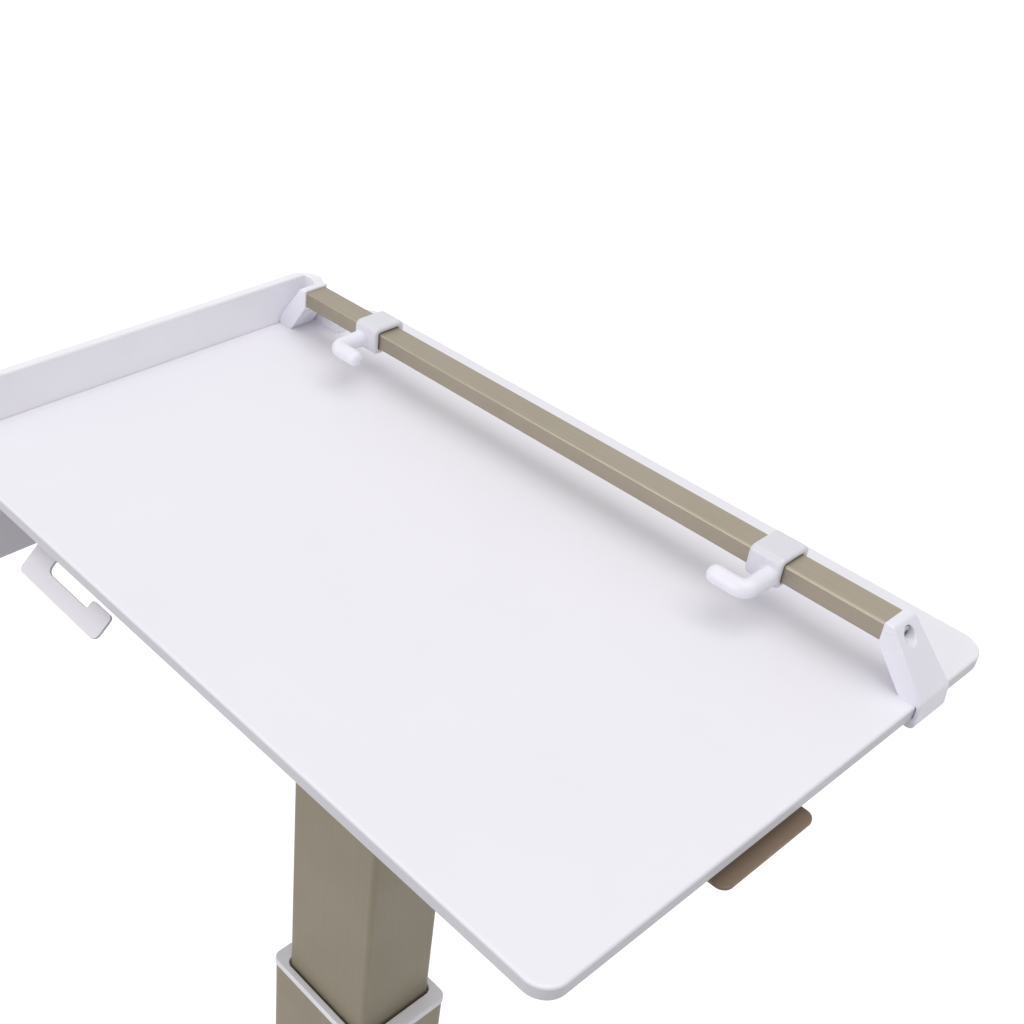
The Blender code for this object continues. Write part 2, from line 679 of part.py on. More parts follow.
def axle_profile():
    """Return the half section of a riveted axle across the fork's cheeks."""
    seat = FORK_HALF_WIDTH + SEAT_GAP
    end = seat + AXLE_HEAD_HEIGHT
    return [(0.0, -end), (0.7 * AXLE_HEAD_RADIUS, -end), (AXLE_HEAD_RADIUS, -seat), (AXLE_RADIUS, -seat),
            (AXLE_RADIUS, seat), (AXLE_HEAD_RADIUS, seat), (0.7 * AXLE_HEAD_RADIUS, end), (0.0, end)]


def brake_mesh():
    """Return the mesh of a brake pedal about its pivot: barrel, trunnions, paddle and lug."""
    half_barrel = FORK_HALF_GAP - RUNNING_CLEARANCE
    barrel = [(0.0, -FORK_HALF_WIDTH), (BRAKE_TRUNNION_RADIUS, -FORK_HALF_WIDTH),
              (BRAKE_TRUNNION_RADIUS, -half_barrel), (BRAKE_BARREL_RADIUS, -half_barrel),
              (BRAKE_BARREL_RADIUS, half_barrel), (BRAKE_TRUNNION_RADIUS, half_barrel),
              (BRAKE_TRUNNION_RADIUS, FORK_HALF_WIDTH), (0.0, FORK_HALF_WIDTH)]
    pedal = add_object("brake_pedal", turned(barrel, "X"), grey_nylon())
    half = BRAKE_PADDLE_THICKNESS / 2.0
    paddle = rectangle(BRAKE_PADDLE_LENGTH, BRAKE_PADDLE_THICKNESS, 0.8 * half,
                       (BRAKE_PADDLE_LENGTH / 2.0, 0.0), 2)
    half_width = half_barrel - RUNNING_CLEARANCE
    unite(pedal, turned_in_side_view(extruded(paddle, "YZ", -half_width, half_width), BRAKE_TRAVEL))
    lug_length = BRAKE_PIVOT_DISTANCE - WHEEL_RADIUS - BRAKE_LUG_CLEARANCE
    lug = rectangle(lug_length, BRAKE_PADDLE_THICKNESS, 0.8 * half, (lug_length / 2.0, 0.0), 2)
    half_lug = BRAKE_LUG_WIDTH / 2.0
    toward_wheel = BRAKE_PIVOT_ANGLE + math.pi + BRAKE_TRAVEL
    unite(pedal, turned_in_side_view(extruded(lug, "YZ", -half_lug, half_lug), toward_wheel))
    shade(pedal)
    mesh = pedal.data
    bpy.data.objects.remove(pedal)
    return mesh


def turned_in_side_view(bm, angle):
    """Turn a mesh about the X axis through its own origin, from +Y toward +Z."""
    bmesh.ops.rotate(bm, cent=(0.0, 0.0, 0.0), matrix=Matrix.Rotation(angle, 3, "X"), verts=bm.verts)
    return bm


def shaded_mesh(name, bm, material):
    """Return a smooth-shaded mesh for several objects to share."""
    piece = add_object(name, bm, material)
    shade(piece)
    mesh = piece.data
    bpy.data.objects.remove(piece)
    return mesh


def build_casters():
    """Build four swivel casters, the front two with brake pedals."""
    plain_fork = fork_mesh("plain_fork", False)
    braked_fork = fork_mesh("braked_fork", True)
    core = shaded_mesh("wheel_core", turned(wheel_core_profile(), "X", steps=WHEEL_STEPS), grey_nylon())
    tyre = shaded_mesh("tyre", turned(tyre_profile(), "X", steps=WHEEL_STEPS), grey_polyurethane())
    axle = shaded_mesh("axle", turned(axle_profile(), "X", steps=SCREW_STEPS), zinc_plated_steel())
    pedal = brake_mesh()
    hub_centre = (0.0, CASTER_TRAIL, WHEEL_RADIUS)
    for row, y in (("front", CASTER_FRONT_Y), ("rear", CASTER_REAR_Y)):
        for side, x in (("left", -CASTER_HALF_SPACING_X), ("right", CASTER_HALF_SPACING_X)):
            place = row + "_" + side
            swivel = bpy.data.objects.new("swivel_" + place, None)
            swivel.location = (x, y, 0.0)
            bpy.context.scene.collection.objects.link(swivel)
            fork = braked_fork if row == "front" else plain_fork
            place_mesh("caster_fork_" + place, fork, grey_nylon(), (0.0, 0.0, 0.0), swivel)
            place_mesh("caster_wheel_" + place, core, grey_nylon(), hub_centre, swivel)
            place_mesh("caster_tyre_" + place, tyre, grey_polyurethane(), hub_centre, swivel)
            place_mesh("caster_axle_" + place, axle, zinc_plated_steel(), hub_centre, swivel)
            if row == "front":
                place_mesh("brake_pedal_" + place, pedal, grey_nylon(), (0.0, *brake_pivot()), swivel)


# Base

def base_outline():
    """Return the plan of the base: a hub with four arms that end in round caster pads."""
    outline = []
    casters = [(CASTER_HALF_SPACING_X, CASTER_FRONT_Y), (CASTER_HALF_SPACING_X, CASTER_REAR_Y),
               (-CASTER_HALF_SPACING_X, CASTER_REAR_Y), (-CASTER_HALF_SPACING_X, CASTER_FRONT_Y)]
    for x, y in casters:
        heading = math.atan2(y, x)
        along = (math.cos(heading), math.sin(heading))
        root = (BASE_ARM_ROOT_DISTANCE * along[0], BASE_ARM_ROOT_DISTANCE * along[1])
        half = BASE_ARM_ROOT_HALF_WIDTH
        outline.append((root[0] + half * along[1], root[1] - half * along[0]))
        for step in range(9):
            angle = heading + math.radians(-90.0 + 22.5 * step)
            outline.append((x + BASE_PAD_RADIUS * math.cos(angle), y + BASE_PAD_RADIUS * math.sin(angle)))
        outline.append((root[0] - half * along[1], root[1] + half * along[0]))
    return outline


def outer_column_outline(extra=0.0):
    """Return the outer column's outline, grown all round by an extra margin."""
    return rectangle(OUTER_COLUMN_WIDTH + 2.0 * extra, OUTER_COLUMN_DEPTH + 2.0 * extra,
                     OUTER_COLUMN_RADIUS + extra)


def outer_bore_outline(inset=0.0):
    """Return the outline of the outer column's bore, drawn in by an inset."""
    return rectangle(OUTER_BORE_WIDTH - 2.0 * inset, OUTER_BORE_DEPTH - 2.0 * inset,
                     OUTER_COLUMN_RADIUS - OUTER_COLUMN_WALL - inset)


def inner_column_outline(extra=0.0):
    """Return the inner column's outline, grown all round by an extra margin."""
    return rectangle(INNER_COLUMN_WIDTH + 2.0 * extra, INNER_COLUMN_DEPTH + 2.0 * extra,
                     INNER_COLUMN_RADIUS + extra)


def build_base():
    """Build the cast base with its column socket and the trim ring on top of the socket."""
    plate = extruded(base_outline(), "XY", BASE_BOTTOM_Z, BASE_TOP_Z)
    round_edges(plate, level_at(BASE_TOP_Z), BASE_EDGE_ROUND)
    base = add_object("base_casting", plate, white_powder_coat())
    boss = outer_column_outline(SEAT_GAP + BASE_BOSS_WALL)
    unite(base, extruded(boss, "XY", BASE_TOP_Z - BASE_THICKNESS / 2.0, BOSS_TOP_Z))
    cut(base, extruded(outer_column_outline(SEAT_GAP), "XY", POCKET_FLOOR_Z, BOSS_TOP_Z + BASE_BOSS_HEIGHT))
    for side in (-1.0, 1.0):
        centre = (side * FOOT_SCREW_SPACING / 2.0, 0.0, BASE_BOTTOM_Z)
        cut(base, drill(FOOT_SCREW_RADIUS + SEAT_GAP, -SEAT_GAP, 2.0 * BASE_HUB_FLOOR, "Z", centre))
        sink = FOOT_SCREW_HEAD_HEIGHT + SEAT_GAP
        cut(base, drill(FOOT_SCREW_HEAD_RADIUS + SEAT_GAP, -sink, sink, "Z", centre))
    for x in (-CASTER_HALF_SPACING_X, CASTER_HALF_SPACING_X):
        for y in (CASTER_FRONT_Y, CASTER_REAR_Y):
            depth = STEM_LENGTH + RUNNING_CLEARANCE
            cut(base, drill(STEM_RADIUS + RUNNING_CLEARANCE, -depth, depth, "Z", (x, y, BASE_BOTTOM_Z)))
    shade(base)
    low = BOSS_TOP_Z + SEAT_GAP
    outer = outer_column_outline(SEAT_GAP + BASE_BOSS_WALL + BASE_TRIM_OVERHANG)
    ring = tube(outer, outer_column_outline(SEAT_GAP), "XY", low, low + BASE_TRIM_HEIGHT)
    shade(add_object("base_trim", ring, white_moulding()))


# Column

def build_outer_column():
    """Build the fixed outer column, its collar, its upper glide and the plate in its foot."""
    body = tube(outer_column_outline(), outer_bore_outline(), "XY", OUTER_COLUMN_BOTTOM_Z, OUTER_COLUMN_TOP_Z)
    shade(add_object("outer_column", body, champagne_anodised()))
    collar_bottom = OUTER_COLUMN_TOP_Z + SEAT_GAP
    collar = tube(outer_column_outline(COLLAR_OVERHANG), inner_column_outline(COLLAR_OPENING_GAP), "XY",
                  collar_bottom, collar_bottom + COLLAR_HEIGHT)
    shade(add_object("column_collar", collar, white_moulding()))
    glide = tube(outer_bore_outline(SEAT_GAP), inner_column_outline(RUNNING_CLEARANCE), "XY",
                 OUTER_COLUMN_TOP_Z - UPPER_GLIDE_HEIGHT, OUTER_COLUMN_TOP_Z)
    shade(add_object("upper_glide", glide, acetal()))
    plate = extruded(outer_bore_outline(SEAT_GAP), "XY", OUTER_COLUMN_BOTTOM_Z, FOOT_PLATE_TOP_Z)
    foot = add_object("foot_plate", plate, zinc_plated_steel())
    rod_seat = (0.0, 0.0, FOOT_PLATE_TOP_Z)
    cut(foot, drill(GAS_ROD_RADIUS + SEAT_GAP, -GAS_ROD_SEAT_DEPTH - SEAT_GAP, SEAT_GAP, "Z", rod_seat))
    for name, side in (("left", -1.0), ("right", 1.0)):
        x = side * FOOT_SCREW_SPACING / 2.0
        cut(foot, drill(FOOT_SCREW_RADIUS + SEAT_GAP, -SEAT_GAP, 2.0 * FOOT_PLATE_THICKNESS, "Z",
                        (x, 0.0, OUTER_COLUMN_BOTTOM_Z)))
        seat = (x, 0.0, BASE_BOTTOM_Z + FOOT_SCREW_HEAD_HEIGHT)
        shank = FOOT_PLATE_TOP_Z - seat[2]
        screw = socket_head_screw(FOOT_SCREW_HEAD_RADIUS, FOOT_SCREW_HEAD_HEIGHT, FOOT_SCREW_RADIUS,
                                  shank, "-Z", (0.0, 0.0, 0.0))
        shade(place_mesh("foot_screw_" + name, shaded_mesh("foot_screw", screw, black_oxide_steel()),
                         black_oxide_steel(), seat))
    shade(foot)


def build_inner_column():
    """Build the moving inner column with its lower glide and the head plate in its top."""
    origin = (0.0, 0.0, INNER_COLUMN_TOP_Z)
    body = tube(inner_column_outline(), inner_column_outline(-INNER_COLUMN_WALL), "XY",
                INNER_COLUMN_BOTTOM_Z, INNER_COLUMN_TOP_Z)
    shade(add_object("inner_column", body, champagne_anodised(), origin))
    glide = tube(outer_bore_outline(RUNNING_CLEARANCE), inner_column_outline(SEAT_GAP), "XY",
                 INNER_COLUMN_BOTTOM_Z, INNER_COLUMN_BOTTOM_Z + LOWER_GLIDE_HEIGHT)
    shade(add_object("lower_glide", glide, acetal(), origin))
    outline = inner_column_outline(-INNER_COLUMN_WALL - SEAT_GAP)
    head = add_object("column_head", extruded(outline, "XY", INNER_COLUMN_TOP_Z - HEAD_THICKNESS, INNER_COLUMN_TOP_Z),
                      zinc_plated_steel(), origin)
    stud_seat = (0.0, 0.0, GAS_CYLINDER_TOP_Z)
    cut(head, drill(GAS_STUD_RADIUS + SEAT_GAP, 0.0, GAS_STUD_LENGTH + 2.0 * SEAT_GAP, "Z", stud_seat))
    for side in (-1.0, 1.0):
        hole = (side * FRAME_SCREW_SPACING / 2.0, 0.0, FRAME_TOP_Z)
        cut(head, drill(FRAME_SCREW_RADIUS + SEAT_GAP, -FRAME_SCREW_LENGTH - SEAT_GAP, 0.0, "Z", hole))
    shade(head)


def build_gas_spring():
    """Build the gas spring: its cylinder hangs from the head plate and its rod stands on the foot plate."""
    bore = GAS_CYLINDER_RADIUS - GAS_CYLINDER_WALL
    top = GAS_CYLINDER_TOP_Z
    bottom = GAS_CYLINDER_BOTTOM_Z
    guide = GAS_ROD_RADIUS + RUNNING_CLEARANCE
    profile = [(0.0, top + GAS_STUD_LENGTH), (GAS_STUD_RADIUS, top + GAS_STUD_LENGTH), (GAS_STUD_RADIUS, top),
               (GAS_CYLINDER_RADIUS, top), (GAS_CYLINDER_RADIUS, bottom), (guide, bottom),
               (guide, bottom + GAS_CYLINDER_END), (bore, bottom + GAS_CYLINDER_END),
               (bore, top - GAS_CYLINDER_WALL), (0.0, top - GAS_CYLINDER_WALL)]
    shade(add_object("gas_spring_cylinder", turned(profile), taupe_powder_coat(), (0.0, 0.0, top)))
    piston = bore - RUNNING_CLEARANCE
    low = FOOT_PLATE_TOP_Z - GAS_ROD_SEAT_DEPTH
    crown = bottom + GAS_CYLINDER_END + LIFT_TRAVEL_UP + STOP_CLEARANCE
    profile = [(0.0, low), (GAS_ROD_RADIUS, low), (GAS_ROD_RADIUS, crown), (piston, crown),
               (piston, crown + GAS_PISTON_HEIGHT), (0.0, crown + GAS_PISTON_HEIGHT)]
    shade(add_object("gas_spring_rod", turned(profile), chromed_steel(), (0.0, 0.0, low)))


# Worktop and frame

def bracket_rear_y(height, flare):
    """Return the y of a bracket's rear face at a height; its foot stands back by the flare."""
    share = (BRACKET_TOP_Z - height) / (BRACKET_TOP_Z - BRACKET_BOTTOM_Z)
    return BRACKET_REAR_Y + flare * share


def worktop_screw_places():
    """Return the plan positions of the four screws that hold the worktop."""
    x = FRAME_WIDTH / 2.0 - WORKTOP_SCREW_INSET
    y = FRAME_DEPTH / 2.0 - WORKTOP_SCREW_INSET
    return {"front_left": (-x, -y), "front_right": (x, -y), "rear_left": (-x, y), "rear_right": (x, y)}


def side_screw_places():
    """Return the y positions of the two screws that hold the side panel."""
    front = WORKTOP_FRONT_Y + SIDE_SCREW_FRONT_OFFSET
    return {"front": front, "rear": front + SIDE_SCREW_SPACING}


def build_worktop():
    """Build the worktop with its bracket notch, its shallow seats and its screw holes."""
    corners = [(WORKTOP_RIGHT_X, WORKTOP_FRONT_Y, WORKTOP_FRONT_RADIUS),
               (WORKTOP_RIGHT_X, WORKTOP_REAR_Y, WORKTOP_REAR_RADIUS),
               (WORKTOP_LEFT_X, WORKTOP_REAR_Y, WORKTOP_REAR_LEFT_RADIUS),
               (WORKTOP_LEFT_X, WORKTOP_FRONT_Y, 0.0)]
    panel = extruded(filleted(corners, 6), "XY", WORKTOP_BOTTOM_Z, WORKTOP_TOP_Z)
    at_top = level_at(WORKTOP_TOP_Z)

    def on_free_edge(edge):
        butted = all(abs(vert.co.x - WORKTOP_LEFT_X) < 1e-6 for vert in edge.verts)
        return at_top(edge) and not butted

    round_edges(panel, on_free_edge, WORKTOP_EDGE_ROUND, 3)
    worktop = add_object("worktop", panel, white_laminate(), (0.0, 0.0, WORKTOP_BOTTOM_Z))
    notch_x = (WORKTOP_LEFT_X - SEAT_GAP, -LEFT_BRACKET_WEB + SEAT_GAP)
    notch_y = (BRACKET_FRONT_Y - SEAT_GAP, BRACKET_REAR_Y + SEAT_GAP)
    notch_z = (WORKTOP_BOTTOM_Z - SEAT_GAP, WORKTOP_TOP_Z + SEAT_GAP)
    cut(worktop, box(notch_x, notch_y, notch_z))
    seat_z = (WORKTOP_TOP_Z - WORKTOP_SEAT_DEPTH, WORKTOP_TOP_Z + SEAT_GAP)
    foot_reach = BRACKET_FOOT + BRACKET_SEAT_MARGIN
    right_seat_x = (RIGHT_BRACKET_WEB - foot_reach, RIGHT_BRACKET_WEB + SEAT_GAP)
    right_seat_y = (BRACKET_FRONT_Y - SEAT_GAP, bracket_rear_y(seat_z[0], BRACKET_FLARE) + SEAT_GAP)
    cut(worktop, box(right_seat_x, right_seat_y, seat_z))
    left_seat_x = (WORKTOP_LEFT_X - SEAT_GAP, -LEFT_BRACKET_WEB + foot_reach)
    cut(worktop, box(left_seat_x, notch_y, seat_z))
    return_seat_x = (WORKTOP_LEFT_X - SEAT_GAP, FENCE_RETURN_END_X + SEAT_GAP)
    return_seat_y = (FENCE_RETURN_FRONT_Y - FENCE_INSIDE_RADIUS - SEAT_GAP, FENCE_BACK_Y + SEAT_GAP)
    cut(worktop, box(return_seat_x, return_seat_y, seat_z))
    for x, y in worktop_screw_places().values():
        cut(worktop, drill(WORKTOP_SCREW_RADIUS + SEAT_GAP, -SEAT_GAP, WORKTOP_SCREW_BITE + SEAT_GAP, "Z",
                           (x, y, WORKTOP_BOTTOM_Z)))
    cut(worktop, drill(STOP_SCREW_RADIUS + SEAT_GAP, -SEAT_GAP, WORKTOP_SCREW_BITE + SEAT_GAP, "Z",
                       (STOP_SCREW_X, TRAY_CENTRE_Y, WORKTOP_BOTTOM_Z)))
    for y in side_screw_places().values():
        start = (WORKTOP_LEFT_X, y, WORKTOP_TOP_Z - WORKTOP_THICKNESS / 2.0)
        cut(worktop, drill(SIDE_SCREW_RADIUS + SEAT_GAP, -SEAT_GAP, SIDE_SCREW_LENGTH, "X", start))
    shade(worktop)


def build_frame():
    """Build the folded steel frame on the column, its screws and the screws up into the worktop."""
    half = FRAME_WIDTH / 2.0
    inside = half - FRAME_PLATE_THICKNESS
    low = FRAME_TOP_Z - FRAME_FLANGE_HEIGHT
    section = [(-half, low), (-inside, low), (-inside, FRAME_BOTTOM_Z), (inside, FRAME_BOTTOM_Z),
               (inside, low), (half, low), (half, FRAME_TOP_Z), (-half, FRAME_TOP_Z)]
    frame = add_object("worktop_frame", extruded(section, "XZ", -FRAME_DEPTH / 2.0, FRAME_DEPTH / 2.0),
                       taupe_powder_coat(), (0.0, 0.0, FRAME_TOP_Z))
    for name, side in (("left", -1.0), ("right", 1.0)):
        seat = (side * FRAME_SCREW_SPACING / 2.0, 0.0, FRAME_TOP_Z)
        hole = countersunk_profile(FRAME_SCREW_HEAD_RADIUS, FRAME_SCREW_RADIUS, FRAME_SCREW_LENGTH,
                                   SEAT_GAP, SEAT_GAP)
        cut(frame, turned(hole, "Z", seat, SCREW_STEPS))
        screw = countersunk_screw(FRAME_SCREW_HEAD_RADIUS, FRAME_SCREW_RADIUS, FRAME_SCREW_LENGTH, "Z", seat)
        shade(add_object("frame_screw_" + name, screw, black_oxide_steel(), seat))
    for name, (x, y) in worktop_screw_places().items():
        seat = (x, y, FRAME_BOTTOM_Z - SEAT_GAP)
        reach = FRAME_PLATE_THICKNESS + SEAT_GAP
        cut(frame, drill(WORKTOP_SCREW_RADIUS + SEAT_GAP, 0.0, reach + SEAT_GAP, "Z", seat))
        length = WORKTOP_BOTTOM_Z + WORKTOP_SCREW_BITE - seat[2]
        screw = socket_head_screw(WORKTOP_SCREW_HEAD_RADIUS, WORKTOP_SCREW_HEAD_HEIGHT, WORKTOP_SCREW_RADIUS,
                                  length, "-Z", seat)
        shade(add_object("worktop_screw_" + name, screw, zinc_plated_steel(), seat))
    shade(frame)


# Side panel

def build_side_panel():
    """Build the left side panel: a skirt below the worktop and a fence above it that turns in behind the bar."""
    y_front = WORKTOP_FRONT_Y
    outer = SIDE_PANEL_OUTER_X
    inner = SIDE_PANEL_INNER_X
    end = FENCE_RETURN_END_X
    top = WORKTOP_TOP_Z + FENCE_HEIGHT
    bottom = WORKTOP_TOP_Z - SKIRT_DEPTH
    plan = [(inner, y_front, 0.0), (inner, FENCE_RETURN_FRONT_Y, FENCE_INSIDE_RADIUS),
            (end, FENCE_RETURN_FRONT_Y, 0.0), (end, FENCE_BACK_Y, 0.0),
            (outer, FENCE_BACK_Y, FENCE_RETURN_RADIUS), (outer, y_front, 0.0)]
    fence = extruded(filleted(plan), "XY", WORKTOP_TOP_Z - WORKTOP_SEAT_DEPTH + SEAT_GAP, top)
    round_edges(fence, level_at(top), FENCE_RIM_ROUND)
    panel = add_object("side_panel", fence, white_moulding(), (outer, y_front, WORKTOP_TOP_Z))
    slope_start = outer + FENCE_RETURN_RADIUS
    wedge = [(slope_start, top), (end + SEAT_GAP, WORKTOP_TOP_Z + FENCE_HEIGHT / 4.0),
             (end + SEAT_GAP, top + FENCE_HEIGHT), (slope_start, top + FENCE_HEIGHT)]
    cut(panel, extruded(wedge, "XZ", FENCE_TURN_Y, FENCE_BACK_Y + SEAT_GAP))
    join = WORKTOP_TOP_Z + FENCE_HEIGHT / 3.0
    skirt = [(y_front, bottom, SKIRT_CORNER_RADIUS), (FENCE_TURN_Y, bottom, SKIRT_CORNER_RADIUS),
             (FENCE_TURN_Y, join, 0.0), (y_front, join, 0.0)]
    unite(panel, extruded(filleted(skirt), "YZ", outer, inner))
    for name, y in side_screw_places().items():
        seat = (outer, y, WORKTOP_TOP_Z - WORKTOP_THICKNESS / 2.0)
        hole = countersunk_profile(SIDE_SCREW_HEAD_RADIUS, SIDE_SCREW_RADIUS, SIDE_SCREW_LENGTH,
                                   SEAT_GAP, SEAT_GAP)
        cut(panel, turned(hole, "-X", seat, SCREW_STEPS))
        screw = countersunk_screw(SIDE_SCREW_HEAD_RADIUS, SIDE_SCREW_RADIUS, SIDE_SCREW_LENGTH, "-X", seat)
        shade(add_object("side_screw_" + name, screw, zinc_plated_steel(), seat))
    shade(panel)


# Security bar, end brackets and hooks

def build_bar():
    """Build the security bar with a tapped hole in each end."""
    hidden = BRACKET_POCKET_DEPTH - SEAT_GAP
    left = -LEFT_BRACKET_INBOARD - hidden
    right = RIGHT_BRACKET_INBOARD + hidden
    outline = rectangle(BAR_DEPTH, BAR_HEIGHT, BAR_EDGE_RADIUS, (BAR_CENTRE_Y, BAR_CENTRE_Z), 2)
    bar = add_object("security_bar", extruded(outline, "YZ", left, right), champagne_anodised(),
                     ((left + right) / 2.0, BAR_CENTRE_Y, BAR_CENTRE_Z))
    for axis, end in (("-X", left), ("X", right)):
        mouth = (end, BAR_CENTRE_Y, BAR_CENTRE_Z)
        cut(bar, drill(BAR_SCREW_RADIUS + SEAT_GAP, -BAR_SCREW_DEPTH, SEAT_GAP, axis, mouth))
    shade(bar)


def bracket_outline(inboard, web):
    """Return a bracket's outline seen along Y, as (outward distance, height) corners."""
    outer = web + BRACKET_LIP_WALL
    crest = inboard + BRACKET_TOP_WIDTH
    shoulder = BRACKET_TOP_Z - (outer - crest) * BRACKET_SLOPE
    foot = WORKTOP_TOP_Z - WORKTOP_SEAT_DEPTH + SEAT_GAP
    lip = WORKTOP_BOTTOM_Z - SEAT_GAP
    chin = BAR_BOTTOM_Z - BRACKET_CHIN
    corners = [(inboard, BRACKET_TOP_Z, 0.001), (inboard, chin, 0.0),
               (web - BRACKET_FOOT, foot, 0.0), (web, foot, 0.0), (web, lip, 0.0),
               (web - BRACKET_FOOT, lip, 0.0), (web - BRACKET_FOOT, BRACKET_BOTTOM_Z, 0.001),
               (outer, BRACKET_BOTTOM_Z, BRACKET_LIP_RADIUS), (outer, shoulder, 0.004), (crest, BRACKET_TOP_Z, 0.002)]
    return filleted(corners, 3)


def build_bracket(name, side, inboard, web, flare):
    """Build an end bracket that holds the bar and clips round the worktop's edge, with its screw."""
    outline = [(side * u, v) for u, v in bracket_outline(inboard, web)]
    body = extruded(outline, "XZ", BRACKET_FRONT_Y, BRACKET_REAR_Y)
    for vert in body.verts:
        if vert.co.y > BAR_CENTRE_Y:
            vert.co.y = bracket_rear_y(vert.co.z, flare)
    origin = (side * inboard, BAR_CENTRE_Y, BAR_CENTRE_Z)
    bracket = add_object("end_bracket_" + name, body, white_moulding(), origin)
    pocket = rectangle(BAR_DEPTH + 2.0 * SEAT_GAP, BAR_HEIGHT + 2.0 * SEAT_GAP, BAR_EDGE_RADIUS,
                       (BAR_CENTRE_Y, BAR_CENTRE_Z), 2)
    pocket_end = inboard + BRACKET_POCKET_DEPTH
    limits = sorted((side * (inboard - BRACKET_POCKET_DEPTH), side * pocket_end))
    cut(bracket, extruded(pocket, "YZ", limits[0], limits[1]))
    axis = "X" if side > 0.0 else "-X"
    seat = (side * (pocket_end + BRACKET_POCKET_FLOOR), BAR_CENTRE_Y, BAR_CENTRE_Z)
    length = BAR_SCREW_DEPTH - SEAT_GAP
    cut(bracket, drill(BAR_SCREW_RADIUS + SEAT_GAP, -length, SEAT_GAP, axis, seat))
    cut(bracket, drill(BAR_SCREW_HEAD_RADIUS + SEAT_GAP, 0.0, BRACKET_FOOT + BRACKET_TOP_WIDTH, axis, seat, 16))
    shade(bracket)
    head = (seat[0] + side * SEAT_GAP, seat[1], seat[2])
    screw = socket_head_screw(BAR_SCREW_HEAD_RADIUS, BAR_SCREW_HEAD_HEIGHT, BAR_SCREW_RADIUS, length, axis, head)
    shade(add_object("bar_screw_" + name, screw, zinc_plated_steel(), head))


def hook_path(side):
    """Return the level path of a hook's arm and finger, from inside its sleeve to its tip."""
    x = side * (HOOK_CENTRE_X + HOOK_ARM_OFFSET)
    start = BAR_FRONT_Y - RUNNING_CLEARANCE - HOOK_SLEEVE_WALL / 2.0
    elbow = BAR_FRONT_Y - HOOK_REACH
    points = [(x, start)]
    for step in range(6):
        angle = math.radians(18.0 * step)
        points.append((x - side * HOOK_BEND_RADIUS * (1.0 - math.cos(angle)),
                       elbow + HOOK_BEND_RADIUS * (1.0 - math.sin(angle))))
    points.append((x - side * HOOK_FINGER_LENGTH, elbow))
    return points


def build_hook(name, side):
    """Build a hook: a sleeve on the bar with an arm and an inward finger, and its set screw."""
    margin = RUNNING_CLEARANCE
    centre = (BAR_CENTRE_Y, BAR_CENTRE_Z)
    window = rectangle(BAR_DEPTH + 2.0 * margin, BAR_HEIGHT + 2.0 * margin, BAR_EDGE_RADIUS, centre, 3)
    grown = 2.0 * (margin + HOOK_SLEEVE_WALL)
    outside = rectangle(BAR_DEPTH + grown, BAR_HEIGHT + grown, HOOK_SLEEVE_RADIUS, centre, 3)
    middle = side * HOOK_CENTRE_X
    half = HOOK_SLEEVE_LENGTH / 2.0
    hook = add_object("hook_" + name, tube(outside, window, "YZ", middle - half, middle + half),
                      white_moulding(), (middle, BAR_CENTRE_Y, BAR_CENTRE_Z))
    unite(hook, swept_rod(hook_path(side), HOOK_ARM_RADIUS, BAR_CENTRE_Z - HOOK_ARM_DROP, 16))
    underside = BAR_BOTTOM_Z - margin - HOOK_SLEEVE_WALL
    screw_foot = (middle, BAR_CENTRE_Y, underside)
    cut(hook, drill(HOOK_SCREW_RADIUS + SEAT_GAP, -SEAT_GAP, HOOK_SLEEVE_WALL + 2.0 * SEAT_GAP, "Z", screw_foot))
    shade(hook, 40.0)
    length = HOOK_SLEEVE_WALL
    recess = HOOK_SCREW_RADIUS / 2.0
    profile = [(0.0, length), (HOOK_SCREW_RADIUS, length), (HOOK_SCREW_RADIUS, 0.0), (recess, 0.0),
               (recess, length / 2.0), (0.0, length / 2.0)]
    shade(add_object("hook_set_screw_" + name, turned(profile, "Z", screw_foot, SCREW_STEPS),
                     black_oxide_steel(), screw_foot))


# Mouse tray

def tray_outline():
    """Return the plan of the mouse tray with its pull tab on the right."""
    inner = TRAY_INNER_X
    outer = TRAY_INNER_X + TRAY_BODY_LENGTH
    tip = outer + TRAY_TAB_REACH
    half = TRAY_WIDTH / 2.0
    tab = TRAY_TAB_WIDTH / 2.0
    y = TRAY_CENTRE_Y
    corners = [(inner, y - half, TRAY_CORNER_RADIUS), (outer, y - half, TRAY_CORNER_RADIUS),
               (outer, y - tab, 0.5 * TRAY_CORNER_RADIUS), (tip, y - tab, TRAY_TAB_RADIUS),
               (tip, y + tab, TRAY_TAB_RADIUS), (outer, y + tab, 0.5 * TRAY_CORNER_RADIUS),
               (outer, y + half, TRAY_CORNER_RADIUS), (inner, y + half, TRAY_CORNER_RADIUS)]
    return filleted(corners)


